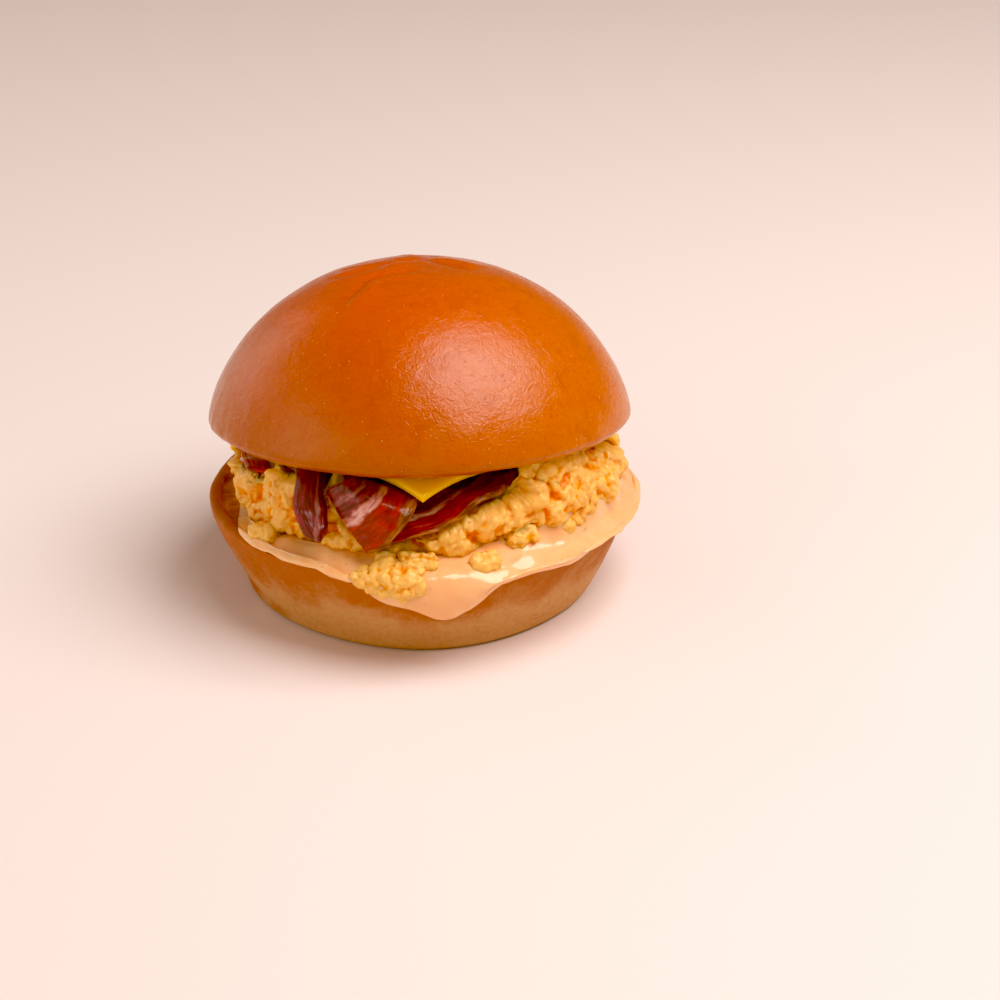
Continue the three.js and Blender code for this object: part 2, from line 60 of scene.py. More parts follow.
class Slot(Enum):
    """The record's material slots."""

    CRUST = "crust"
    HEEL_CRUST = "heel_crust"
    EGG = "egg"
    SAUCE = "sauce"
    CHEESE = "cheese"
    BACON = "bacon"


# Noise, curves and other shapes of numbers


def smooth_step(value: Array, low: float, high: float) -> Array:
    """Goes from 0 at low to 1 at high along 3t^2 - 2t^3.

    Args:
        value: the numbers to read.
        low: where it starts.
        high: where it ends, which may be below low.

    Returns:
        The share, from 0 to 1.
    """
    t = np.clip((value - low) / (high - low), 0, 1)
    return t * t * (3 - 2 * t)


def hashed(cell: Array, seed: int) -> Array:
    """A number from 0 to 1 for each whole-numbered cell of space, the same on every run.

    Args:
        cell: whole numbers, with x, y and z in the last axis.
        seed: tells one field of numbers from another.

    Returns:
        One number for each cell.
    """
    x, y, z = (cell[..., k].astype(np.int64) & 0xFFFFFFFF for k in range(3))
    h = (x * 374761393 + y * 668265263 + z * 1274126177 + seed * 982451653) & 0xFFFFFFFF
    h = ((h ^ (h >> 13)) * 1103515245) & 0xFFFFFFFF
    h = ((h ^ (h >> 16)) * 2246822519) & 0xFFFFFFFF
    return ((h ^ (h >> 15)) & 0xFFFFFF) / float(0x1000000)


def value_noise(points: Array, wavelength: float, seed: int) -> Array:
    """Smooth noise: random numbers at the corners of a lattice, blended by smooth steps between them.

    Args:
        points: places, with x, y and z in the last axis.
        wavelength: the lattice's spacing.
        seed: tells one noise from another.

    Returns:
        Numbers from -1 to 1.
    """
    scaled = points / wavelength
    base = np.floor(scaled).astype(np.int64)
    part = scaled - base
    part = part * part * part * (part * (part * 6 - 15) + 10)
    total = np.zeros(points.shape[:-1])
    for corner in np.ndindex(2, 2, 2):
        step = np.array(corner)
        weight = np.prod(np.where(step == 1, part, 1 - part), axis=-1)
        total += weight * hashed(base + step, seed)
    return total * 2 - 1


def layered_noise(points: Array, wavelength: float, seed: int, layers: int = 3) -> Array:
    """Value noise plus copies of it, each half the size and half the height of the one before.

    Args:
        points: places.
        wavelength: the coarsest layer's spacing.
        seed: tells one noise from another.
        layers: how many layers are added up.

    Returns:
        Numbers from about -1 to 1.
    """
    total = np.zeros(points.shape[:-1])
    for layer in range(layers):
        total += value_noise(points, wavelength / 2**layer, seed + 17 * layer) / 2**layer
    return total / (2 - 2.0 ** (1 - layers))


def lump_field(points: Array, size: float, seed: int) -> Array:
    """Packed lumps: one minus the squared distance to the nearest of the points scattered one to a cell.

    Args:
        points: places.
        size: the usual width of a lump.
        seed: tells one field from another.

    Returns:
        1 in the middle of a lump, falling to about 0 in the creases between lumps.
    """
    scaled = points / size
    base = np.floor(scaled).astype(np.int64)
    nearest = np.full(points.shape[:-1], 9.0)
    for step in np.ndindex(3, 3, 3):
        cell = base + (np.array(step) - 1)
        spot = np.stack([hashed(cell, seed + 101 * k) for k in range(3)], axis=-1)
        gap = cell + spot - scaled
        nearest = np.minimum(nearest, np.sum(gap * gap, axis=-1))
    return 1 - np.minimum(nearest, 1.0)


def cubic(first: Array, last: Array, slope: Array, end_slope: Array, t: Array) -> Array:
    """The cubic between two values with a given slope at each.

    Args:
        first: the value at its start.
        last: the value at its end.
        slope: the slope at its start.
        end_slope: the slope at its end.
        t: the share of the way.

    Returns:
        The value there.
    """
    kept = (1 - t) ** 2
    level = first * (1 + 2 * t) * kept + last * t * t * (3 - 2 * t)
    return level + slope * t * kept - end_slope * t * t * (1 - t)


@dataclass(frozen=True)
class RoundCurve:
    """A smooth closed curve of one value round the sandwich.

    Attributes:
        stops: pairs of an angle in degrees and the value there, in order.
    """

    stops: tuple[tuple[float, float], ...]

    def __call__(self, angle: Array) -> Array:
        """The value at each angle, by cubics. The slope at a stop is that between its neighbours.

        Args:
            angle: angles in radians.

        Returns:
            The values.
        """
        at, value = np.array(self.stops, float).T
        at = np.concatenate([at[-2:] - 360, at, at[:3] + 360])
        value = np.concatenate([value[-2:], value, value[:3]])
        slope = np.gradient(value, at)
        degrees = (np.degrees(angle) - at[2]) % 360 + at[2]
        k = np.clip(np.searchsorted(at, degrees, side="right") - 1, 0, len(at) - 2)
        width = at[k + 1] - at[k]
        t = (degrees - at[k]) / width
        return cubic(value[k], value[k + 1], width * slope[k], width * slope[k + 1], t)


def through_points(places: Array, share: Array) -> Array:
    """A centripetal Catmull-Rom curve through a list of places, which goes on straight past its ends.

    Args:
        places: the places, one to a row.
        share: how far along the list each wanted point lies, from 0 to 1.

    Returns:
        The points, one for each share.
    """
    padded = np.concatenate([2 * places[:1] - places[1:2], places, 2 * places[-1:] - places[-2:-1]])
    along = np.clip(share, 0, 1) * (len(places) - 1)
    k = np.minimum(along.astype(int), len(places) - 2)
    a, b, c, d = (padded[k + i] for i in range(4))
    ab, bc, cd = (np.sqrt(np.linalg.norm(q - p, axis=1, keepdims=True)) for p, q in ((a, b), (b, c), (c, d)))
    start = ((b - a) / ab - (c - a) / (ab + bc) + (c - b) / bc) * bc
    end = ((c - b) / bc - (d - b) / (bc + cd) + (d - c) / cd) * bc
    return cubic(b, c, start, end, (along - k)[:, None])


# Meshes


@dataclass
class Surface:
    """Points in millimetres and the faces between them.

    Attributes:
        points: one place to a row.
        quads: four point numbers to a row.
        triangles: three point numbers to a row.
        marks: numbers for each point that a finish reads, by name.
        uv: a place on the finish's own map for each point, where it has one.
    """

    points: Array
    quads: Array
    triangles: Array = field(default_factory=lambda: np.zeros((0, 3), int))
    marks: dict[str, Array] = field(default_factory=dict)
    uv: Array | None = None

    def normals(self) -> Array:
        """The outward direction at each point: the sum of the faces' area vectors round it, made unit length.

        Returns:
            One direction for each point.
        """
        total = np.zeros_like(self.points)
        for faces in (self.quads, self.triangles):
            across = self.points[faces[:, 2]] - self.points[faces[:, 0]]
            area = np.cross(across, self.points[faces[:, -1]] - self.points[faces[:, 1]])
            for column in faces.T:
                for axis in range(3):
                    total[:, axis] += np.bincount(column, area[:, axis], len(self.points))
        return total / np.maximum(np.linalg.norm(total, axis=1, keepdims=True), 1e-9)

    def swell(self, amount: Array) -> None:
        """Moves each point out along its normal."""
        self.points = self.points + self.normals() * amount[:, None]

    def relaxed(self, values: Array, rounds: int) -> Array:
        """Moves each point's values half way to the mean of its neighbours', over and over.

        Args:
            values: one row for each point.
            rounds: how many times.

        Returns:
            The new values.
        """
        pairs = [self.quads[:, [k, (k + 1) % 4]] for k in range(4)]
        pairs += [self.triangles[:, [k, (k + 1) % 3]] for k in range(3)]
        ends = np.concatenate(pairs)
        own, other = np.concatenate([ends, ends[:, ::-1]]).T
        size = len(values)
        count = np.maximum(np.bincount(own, minlength=size), 1)
        for _ in range(rounds):
            mean = [np.bincount(own, column[other], size) / count for column in values.T]
            values = (values + np.stack(mean, axis=-1)) / 2
        return values

    def to_object(self, name: str, material: bpy.types.Material | None = None) -> bpy.types.Object:
        """Puts the surface into a mesh in metres, with smooth shading.

        Args:
            name: the object's name.
            material: its finish.

        Returns:
            The object, which stands at the origin.
        """
        mesh = bpy.data.meshes.new(name)
        sizes = np.concatenate([np.full(len(self.quads), 4), np.full(len(self.triangles), 3)])
        corners = np.concatenate([self.quads.ravel(), self.triangles.ravel()])
        mesh.vertices.add(len(self.points))
        mesh.vertices.foreach_set("co", (self.points * MM).astype(np.float32).ravel())
        mesh.loops.add(len(corners))
        mesh.loops.foreach_set("vertex_index", corners.astype(np.int32))
        mesh.polygons.add(len(sizes))
        mesh.polygons.foreach_set("loop_start", (np.cumsum(sizes) - sizes).astype(np.int32))
        mesh.update(calc_edges=True)
        mesh.shade_smooth()
        for mark, values in self.marks.items():
            layer = mesh.attributes.new(mark, "FLOAT", "POINT")
            layer.data.foreach_set("value", values.astype(np.float32))
        if self.uv is not None:
            layer = mesh.uv_layers.new(name="UVMap")
            layer.data.foreach_set("uv", self.uv[corners].astype(np.float32).ravel())
        if material:
            mesh.materials.append(material)
        made = bpy.data.objects.new(name, mesh)
        bpy.context.scene.collection.objects.link(made)
        return made

    def add_piece(self, name: str, material: bpy.types.Material, slot: Slot, node: str) -> None:
        """Makes the surface a piece of the sandwich that stands for a CAD node.

        Args:
            name: the piece's name.
            material: its finish.
            slot: the record's slot that the finish belongs to; not used.
            node: the CAD node.
        """
        piece = self.to_object(name, material)
        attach(piece, "root")
        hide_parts(node)
        LOG.info("%s stands for %s, with %d points", name, node, len(self.points))


def full_turn(columns: int) -> Array:
    """Angles evenly round the circle, in radians."""
    return np.linspace(0, 2 * np.pi, columns, endpoint=False)


def turned_surface(radius: Array, height: Array, angle: Array) -> Surface:
    """A closed surface turned round the Z axis, whose section may differ from one angle to the next.

    A point is (radius cos(angle), radius sin(angle), height). The rows run from the underside's middle to the
    top's, and each of those two rows is one point.

    Args:
        radius: rows by columns, 0 in the first and last rows.
        height: rows by columns.
        angle: one for each column.

    Returns:
        The surface.
    """
    rows, columns = radius.shape
    ring = np.stack([radius * np.cos(angle), radius * np.sin(angle), height], axis=-1)[1:-1]
    points = np.concatenate([ring.reshape(-1, 3), [[0, 0, height[0].mean()], [0, 0, height[-1].mean()]]])
    number = np.arange((rows - 2) * columns).reshape(rows - 2, columns)
    ahead = np.roll(number, -1, axis=1)
    quads = np.stack([number[:-1], ahead[:-1], ahead[1:], number[1:]], axis=-1).reshape(-1, 4)
    foot = np.stack([np.full(columns, len(points) - 2), ahead[0], number[0]], axis=-1)
    cap = np.stack([np.full(columns, len(points) - 1), number[-1], ahead[-1]], axis=-1)
    return Surface(points, quads, np.concatenate([foot, cap]))


def sheet_surface(upper: Array, lower: Array, uv: Array) -> Surface:
    """A closed sheet between two grids of points of the same size.

    Args:
        upper: rows by columns by 3, the face that (rows x columns) looks away from.
        lower: the other face.
        uv: rows by columns by 2, shared by both faces.

    Returns:
        The surface.
    """
    rows, columns = upper.shape[:2]
    number = np.arange(rows * columns).reshape(rows, columns)
    top = np.stack([number[:-1, :-1], number[1:, :-1], number[1:, 1:], number[:-1, 1:]], axis=-1)
    top = top.reshape(-1, 4)
    under = top[:, ::-1] + rows * columns
    rim = np.concatenate([number[:-1, 0], number[-1, :-1], number[:0:-1, -1], number[0, :0:-1]])
    after = np.roll(rim, -1)
    side = np.stack([rim, rim + rows * columns, after + rows * columns, after], axis=-1)
    points = np.concatenate([upper.reshape(-1, 3), lower.reshape(-1, 3)])
    return Surface(points, np.concatenate([top, under, side]), uv=np.tile(uv.reshape(-1, 2), (2, 1)))


def read_all(items: bpy.types.bpy_prop_collection, name: str, width: int, kind: type) -> Array:
    """Reads one property of every item of a mesh.

    Args:
        items: the items, such as its vertices.
        name: the property.
        width: how many numbers it has.
        kind: their type.

    Returns:
        The numbers, one after another.
    """
    values = np.empty(len(items) * width, kind)
    items.foreach_get(name, values)
    return values


def melted(surface: Surface, cell: float) -> Surface:
    """Melts shapes that overlap into one skin of small cells.

    Args:
        surface: the shapes.
        cell: the cells' size.

    Returns:
        The skin.
    """
    rough = surface.to_object("rough")
    melt = rough.modifiers.new("melt", "REMESH")
    melt.mode = "VOXEL"
    melt.voxel_size = cell * MM
    mesh = bpy.data.meshes.new_from_object(rough.evaluated_get(bpy.context.evaluated_depsgraph_get()))
    points = read_all(mesh.vertices, "co", 3, np.float32).reshape(-1, 3).astype(float) / MM
    corners = read_all(mesh.loops, "vertex_index", 1, np.int32)
    start = read_all(mesh.polygons, "loop_start", 1, np.int32)
    total = read_all(mesh.polygons, "loop_total", 1, np.int32)
    source = rough.data
    bpy.data.objects.remove(rough)
    for used in (source, mesh):
        bpy.data.meshes.remove(used)
    return Surface(points, *(corners[start[total == size][:, None] + np.arange(size)] for size in (4, 3)))


# Node materials


class Nodes:
    """A material's node tree, with short calls for the few kinds of node that the finishes use."""

    def __init__(self, name: str) -> None:
        """Starts a material with one principled shader.

        Args:
            name: the material's name.
        """
        self.material = bpy.data.materials.new(name)
        self.material.use_nodes = True
        self.tree = self.material.node_tree
        self.shader = self.tree.nodes["Principled BSDF"]
        coordinates = self.tree.nodes.new("ShaderNodeTexCoord")
        self.place = coordinates.outputs["Object"]
        self.map = coordinates.outputs["UV"]

    def feed(self, socket: Socket, value: object) -> None:
        """Links an output to a socket, or sets a plain value on it.

        Args:
            socket: the input.
            value: an output socket, a number or a colour.
        """
        if isinstance(value, Socket):
            self.tree.links.new(value, socket)
        else:
            socket.default_value = (*value, 1.0) if socket.type == "RGBA" else value

    def set(self, **values: object) -> None:
        """Sets the shader's inputs, each named in words joined by underscores."""
        for name, value in values.items():
            self.feed(self.shader.inputs[name.replace("_", " ")], value)

    def add(self, kind: str, inputs: dict, **settings: str) -> bpy.types.bpy_prop_collection:
        """Adds a node.

        Args:
            kind: its type, without the first words.
            inputs: what each input gets, by name or number.
            settings: its own settings.

        Returns:
            Its outputs.
        """
        node = self.tree.nodes.new("ShaderNode" + kind)
        for name, value in settings.items():
            setattr(node, name, value)
        for name, value in inputs.items():
            self.feed(node.inputs[name], value)
        return node.outputs

    def mark(self, name: str) -> Socket:
        """The number that the mesh holds for each point under a name."""
        return self.add("Attribute", {}, attribute_name=name)["Fac"]

    def noise(self, size: float, detail: float = 2.0, rough: float = 0.5, warp: float = 0.0,
              where: Socket | None = None) -> Socket:
        """Soft noise from 0 to 1.

        Args:
            size: the coarsest feature's width, in millimetres of the object, or in the units of where.
            detail: how many finer layers are added.
            rough: how strong they are.
            warp: how far the pattern is twisted.
            where: the coordinates, which are the object's own in metres unless given.

        Returns:
            The noise.
        """
        return self.add("TexNoise", {
            "Scale": 1 / size if where else 1 / (size * MM), "Detail": detail, "Roughness": rough,
            "Distortion": warp, "Vector": where or self.place,
        })["Fac"]

    def cells(self, size: float) -> tuple[Socket, Socket]:
        """The distance to the nearest cell of a size in millimetres, and the red part of its colour."""
        found = self.add("TexVoronoi", {"Scale": 1 / (size * MM), "Vector": self.place})
        return found["Distance"], self.axis("X", found["Color"])

    def stretch(self, scale: Triple, source: Socket) -> Socket:
        """Coordinates stretched along each axis, so that a pattern on them runs one way."""
        return self.add("Mapping", {"Scale": scale, "Vector": source})["Vector"]

    def level(self, value: Socket, low: float, high: float, start: float = 0.0, end: float = 1.0) -> Socket:
        """A smooth step of a value, from start at low to end at high."""
        inputs = {"From Min": low, "From Max": high, "To Min": start, "To Max": end, "Value": value}
        return self.add("MapRange", inputs, interpolation_type="SMOOTHSTEP")["Result"]

    def sum(self, operation: str, first: object, second: object) -> Socket:
        """One step of arithmetic, such as ADD, MULTIPLY or MAXIMUM."""
        return self.add("Math", {0: first, 1: second}, operation=operation)["Value"]

    def blend(self, share: object, first: object, second: object) -> Socket:
        """Blends two colours by a share: 0 gives the first and 1 the second."""
        return self.add("Mix", {0: share, 6: first, 7: second}, data_type="RGBA")[2]

    def relief(self, height: Socket, depth: float, under: Socket | None = None) -> Socket:
        """A bump of a given depth in millimetres, on top of another where one is given."""
        inputs = {"Strength": 1.0, "Distance": depth * MM, "Height": height}
        return self.add("Bump", inputs | ({"Normal": under} if under else {}))["Normal"]

    def axis(self, name: str, source: Socket) -> Socket:
        """One of the X, Y and Z parts of some coordinates."""
        return self.add("SeparateXYZ", {"Vector": source})[name]


# Finishes


@dataclass(frozen=True)
class GlazedCrust:
    """Egg-washed brioche crust: deep orange-brown on top, tan at the rim, with a soft shine.

    Attributes:
        top, middle, rim: the colours of the dome's top, of its side and near its lower edge.
        painted_lit_side: a lighter, more golden colour painted on its right-hand side, as light where the key
            light falls.
        dark, painted_fold_shade: the colours of darker patches, and of the shade painted in the creases.
        painted_glint_fleck: the pale colour of the small blisters, painted as tiny glints.
        crumb: the colour of the cut face.
    """

    top: Triple = (0.56, 0.072, 0.001)
    middle: Triple = (0.50, 0.076, 0.001)
    rim: Triple = (0.48, 0.094, 0.003)
    painted_lit_side: Triple = (0.62, 0.142, 0.002)
    dark: Triple = (0.40, 0.045, 0.001)
    painted_fold_shade: Triple = (0.40, 0.03, 0.001)
    painted_glint_fleck: Triple = (0.95, 0.5, 0.2)
    crumb: Triple = (0.86, 0.66, 0.38)

    def build(self) -> bpy.types.Material:
        """Makes the material.

        Returns:
            The material. It reads the marks rise, from rim to top, painted_fold_shade, which paints shade in
            the creases, and cut, 1 on the cut face.
        """
        n = Nodes("glazed_crust")
        rise = n.sum("ADD", n.mark("rise"), n.level(n.noise(16, 4, 0.6, 0.6), 0.3, 0.7, -0.16, 0.16))
        colour = n.blend(n.level(rise, 0.0, 0.35), self.rim, self.middle)
        colour = n.blend(n.level(rise, 0.35, 1.0), colour, self.top)
        # Painted light: the right-hand side, which faces the key light, is blended to a lighter, more golden
        # colour.
        colour = n.blend(n.level(n.axis("X", n.place), -0.01, 0.05, 0.0, 0.6), colour, self.painted_lit_side)
        colour = n.blend(n.level(n.noise(1.2, 4, 0.65), 0.48, 0.75, 0.0, 0.4), colour, (0.38, 0.045, 0.001))
        # Painted highlight: small pale flecks, clustered by noise, stand in for tiny glints on the blisters;
        # the same mask presses them in as pits.
        near, tint = n.cells(1.2)
        patchy = n.level(n.noise(9, 4, 0.7), 0.40, 0.60, 0.80, 0.97)
        painted_glint_fleck = n.sum("MULTIPLY", n.level(near, 0.24, 0.10), n.sum("GREATER_THAN", tint, patchy))
        colour = n.blend(n.level(n.noise(6.0, 6, 0.7, 0.8), 0.48, 0.68, 0.0, 0.35), colour, self.dark)
        colour = n.blend(n.sum("MULTIPLY", painted_glint_fleck, 0.35), colour, self.painted_glint_fleck)
        # Painted shade: a darker colour in the creases of the dough.
        colour = n.blend(n.mark("painted_fold_shade"), colour, self.painted_fold_shade)
        colour = n.blend(n.mark("cut"), colour, self.crumb)
        pits = n.relief(n.sum("MULTIPLY", painted_glint_fleck, -1.0), 0.12)
        skin = n.relief(n.noise(2.6, 4, 0.6, 0.8), 0.22, n.relief(n.noise(0.6, 3, 0.6), 0.10, pits))
        n.set(Base_Color=colour, Normal=skin, Subsurface_Weight=0.05, Subsurface_Scale=0.002,
              Subsurface_Radius=(1.0, 0.35, 0.1), Coat_Weight=0.75, Coat_Roughness=0.13, Coat_IOR=1.45,
              Coat_Normal=skin, Roughness=n.level(n.noise(3.0, 3, 0.6), 0.3, 0.7, 0.36, 0.5),
              Specular_IOR_Level=0.2)
        return n.material


@dataclass(frozen=True)
class HeelCrust:
    """The heel's matte crust: orange-brown near the rim, pale in the lower middle.

    Attributes:
        baked, pale, grain: the colours of the well-baked part, of the pale part and of its fine grain.
        toasted, crumb: the two colours of the toasted cut face inside the rim.
    """

    baked: Triple = (0.48, 0.125, 0.045)
    pale: Triple = (0.62, 0.31, 0.145)
    grain: Triple = (0.46, 0.12, 0.015)
    toasted: Triple = (0.40, 0.10, 0.015)
    crumb: Triple = (0.66, 0.27, 0.07)

    def build(self) -> bpy.types.Material:
        """Makes the material.

        Returns:
            The material. It reads the marks bake, from pale to baked, and cut, 1 on the cut face.
        """
        n = Nodes("heel_crust")
        bake = n.sum("ADD", n.mark("bake"), n.level(n.noise(14, 5, 0.62, 0.4), 0.3, 0.7, -0.3, 0.3))
        colour = n.blend(n.level(bake, 0.1, 0.9), self.pale, self.baked)
        grain = n.noise(1.2, 3, 0.6)
        colour = n.blend(n.level(grain, 0.35, 0.75, 0.0, 0.25), colour, self.grain)
        toast = n.blend(n.level(n.noise(4, 4, 0.6), 0.35, 0.65), self.toasted, self.crumb)
        skin = n.relief(n.noise(3.5, 3, 0.55), 0.16, n.relief(n.noise(0.7, 3, 0.6), 0.07))
        n.set(Base_Color=n.blend(n.mark("cut"), colour, toast), Normal=skin, Subsurface_Weight=0.08,
              Subsurface_Scale=0.002, Subsurface_Radius=(1.0, 0.45, 0.18), Specular_IOR_Level=0.3,
              Specular_Tint=(1.0, 0.7, 0.5), Roughness=n.level(grain, 0.3, 0.7, 0.52, 0.68))
        return n.material


@dataclass(frozen=True)
class SoftEgg:
    """Moist scrambled egg, with painted light on the raised curds and painted shade, a deeper orange, in the
    creases between them.

    Attributes:
        painted_peak_light, deep: the paler colour painted as light where the curds stand out most, and the
            deeper orange painted as shade in the creases.
        peak, deep: the colours where they stand out most and in the creases.
    """

    curd: Triple = (0.95, 0.36, 0.045)
    yolk: Triple = (0.96, 0.38, 0.02)
    painted_peak_light: Triple = (0.97, 0.49, 0.13)
    deep: Triple = (0.90, 0.20, 0.004)

    def build(self) -> bpy.types.Material:
        """Makes the material.

        Returns:
            The material. It reads the mark painted_cavity_shading, 1 in the creases, which sets the painted
            light and shade.
        """
        n = Nodes("soft_egg")
        colour = n.blend(n.level(n.noise(9, 3, 0.6), 0.42, 0.62), self.curd, self.yolk)
        # Painted light and shade: raised curds are paler and the creases a deeper orange, as where light and
        # shade fall.
        painted_cavity_shading = n.sum("ADD", n.mark("painted_cavity_shading"), n.level(n.noise(1.2, 3, 0.6), 0.3, 0.7, -0.12, 0.12))
        colour = n.blend(n.level(painted_cavity_shading, 0.5, 0.05), colour, self.painted_peak_light)
        colour = n.blend(n.level(painted_cavity_shading, 0.45, 0.95), colour, self.deep)
        skin = n.relief(n.noise(1.6, 3, 0.6), 0.4, n.relief(n.noise(0.7, 3, 0.6), 0.12))
        n.set(Base_Color=colour, Normal=skin, Subsurface_Weight=0.5, Subsurface_Scale=0.004,
              Subsurface_Radius=(1.0, 0.4, 0.1), Coat_Weight=0.4, Coat_Roughness=0.18,
              Roughness=n.level(n.noise(1.1, 2, 0.5), 0.3, 0.7, 0.4, 0.62), Specular_Tint=(1.0, 0.8, 0.6))
        return n.material


@dataclass(frozen=True)
class PinkSauce:
    """Creamy pink-orange sauce with fine red specks.

    Attributes:
        cream, pale: its two colours.
        speck: the colour of the specks.
    """

    cream: Triple = (0.96, 0.45, 0.20)
    pale: Triple = (0.98, 0.50, 0.24)
    speck: Triple = (0.75, 0.13, 0.02)

    def build(self) -> bpy.types.Material:
        """Makes the material.

        Returns:
            The material.
        """
        n = Nodes("pink_sauce")
        colour = n.blend(n.level(n.noise(7, 3, 0.5), 0.35, 0.65), self.cream, self.pale)
        near, tint = n.cells(1.5)
        dot = n.sum("MULTIPLY", n.level(near, 0.20, 0.08), n.level(tint, 0.72, 0.78))
        colour = n.blend(n.sum("MULTIPLY", dot, 0.7), colour, self.speck)
        n.set(Base_Color=colour, Normal=n.relief(n.noise(1.6, 2, 0.5), 0.06), Roughness=0.42,
              Subsurface_Weight=0.4, Subsurface_Scale=0.004, Subsurface_Radius=(1.0, 0.45, 0.25),
              Coat_Weight=0.9, Coat_Roughness=0.08, Specular_IOR_Level=0.2)
        return n.material


@dataclass(frozen=True)
class YellowCheese:
    """Smooth bright yellow sliced cheese, in the two colours body and pale."""

    body: Triple = (1.0, 0.53, 0.012)
    pale: Triple = (1.0, 0.56, 0.03)

    def build(self) -> bpy.types.Material:
        """Makes the material.

        Returns:
            The material.
        """
        n = Nodes("yellow_cheese")
        colour = n.blend(n.level(n.noise(12, 2, 0.5), 0.35, 0.65), self.body, self.pale)
        n.set(Base_Color=colour, Normal=n.relief(n.noise(2.5, 2, 0.5), 0.04), Roughness=0.33,
              Subsurface_Weight=0.35, Subsurface_Scale=0.003, Subsurface_Radius=(1.0, 0.6, 0.1))
        return n.material


@dataclass(frozen=True)
class FriedBacon:
    """Greasy fried streaky bacon: red meat, pale bands of fat along the rasher, and a brown rind.

    Attributes:
        meat, shade: the colours of the meat and of its darker fibres.
        dark, smoked: the two colours of its darker part, past half way across the map.
        fat, pink: the colours of the fat and of its thinner parts.
        rind, seared: the two colours of the edge.
    """

    meat: Triple = (0.48, 0.008, 0.010)
    shade: Triple = (0.26, 0.005, 0.006)
    dark: Triple = (0.12, 0.005, 0.016)
    smoked: Triple = (0.30, 0.022, 0.05)
    fat: Triple = (0.80, 0.42, 0.34)
    pink: Triple = (0.58, 0.13, 0.13)
    rind: Triple = (0.45, 0.13, 0.03)
    seared: Triple = (0.16, 0.025, 0.008)

    def build(self) -> bpy.types.Material:
        """Makes the material.

        Returns:
            The material. On its map, X runs along the rasher in centimetres and Y across it from 0 to 1.
        """
        n = Nodes("fried_bacon")
        lengthwise = n.stretch((0.8, 7.0, 1.0), n.map)
        waver = n.noise(1.3, 3, 0.55, 0.0, n.stretch((1.0, 1.2, 1.0), n.map))
        across = n.sum("ADD", n.axis("Y", n.map), n.level(waver, 0.25, 0.75, -0.07, 0.07))
        fibre = n.noise(0.4, 4, 0.6, 0.3, lengthwise)
        lean = n.blend(n.level(fibre, 0.40, 0.64), self.shade, self.meat)
        smoked = n.blend(n.level(fibre, 0.35, 0.65), self.dark, self.smoked)
        colour = n.blend(n.level(across, 0.50, 0.60), lean, smoked)
        fat = n.blend(n.level(fibre, 0.35, 0.6), self.pink, self.fat)
        band = n.sum("MULTIPLY", n.level(across, 0.39, 0.44), n.level(across, 0.57, 0.51))
        thin = n.sum("MULTIPLY", n.level(across, 0.70, 0.73), n.level(across, 0.80, 0.77))
        broken = n.level(n.noise(0.7, 2, 0.5, 0.2, lengthwise), 0.36, 0.56, 0.35, 1.0)
        fatty = n.sum("MAXIMUM", band, n.sum("MULTIPLY", thin, 0.35))
        colour = n.blend(n.sum("MULTIPLY", fatty, broken), colour, fat)
        edge = n.blend(n.level(fibre, 0.4, 0.6), self.rind, self.seared)
        colour = n.blend(n.level(across, 0.085, 0.045), colour, edge)
        skin = n.relief(fibre, 0.30, n.relief(n.noise(0.8, 3, 0.6), 0.10))
        n.set(Base_Color=colour, Normal=skin, Subsurface_Weight=0.12, Subsurface_Scale=0.0015,
              Subsurface_Radius=(1.0, 0.3, 0.2), Coat_Weight=0.4, Coat_Roughness=0.12,
              Roughness=n.level(n.noise(1.2, 2, 0.5), 0.3, 0.7, 0.25, 0.5), Specular_IOR_Level=0.3)
        return n.material


# The bun


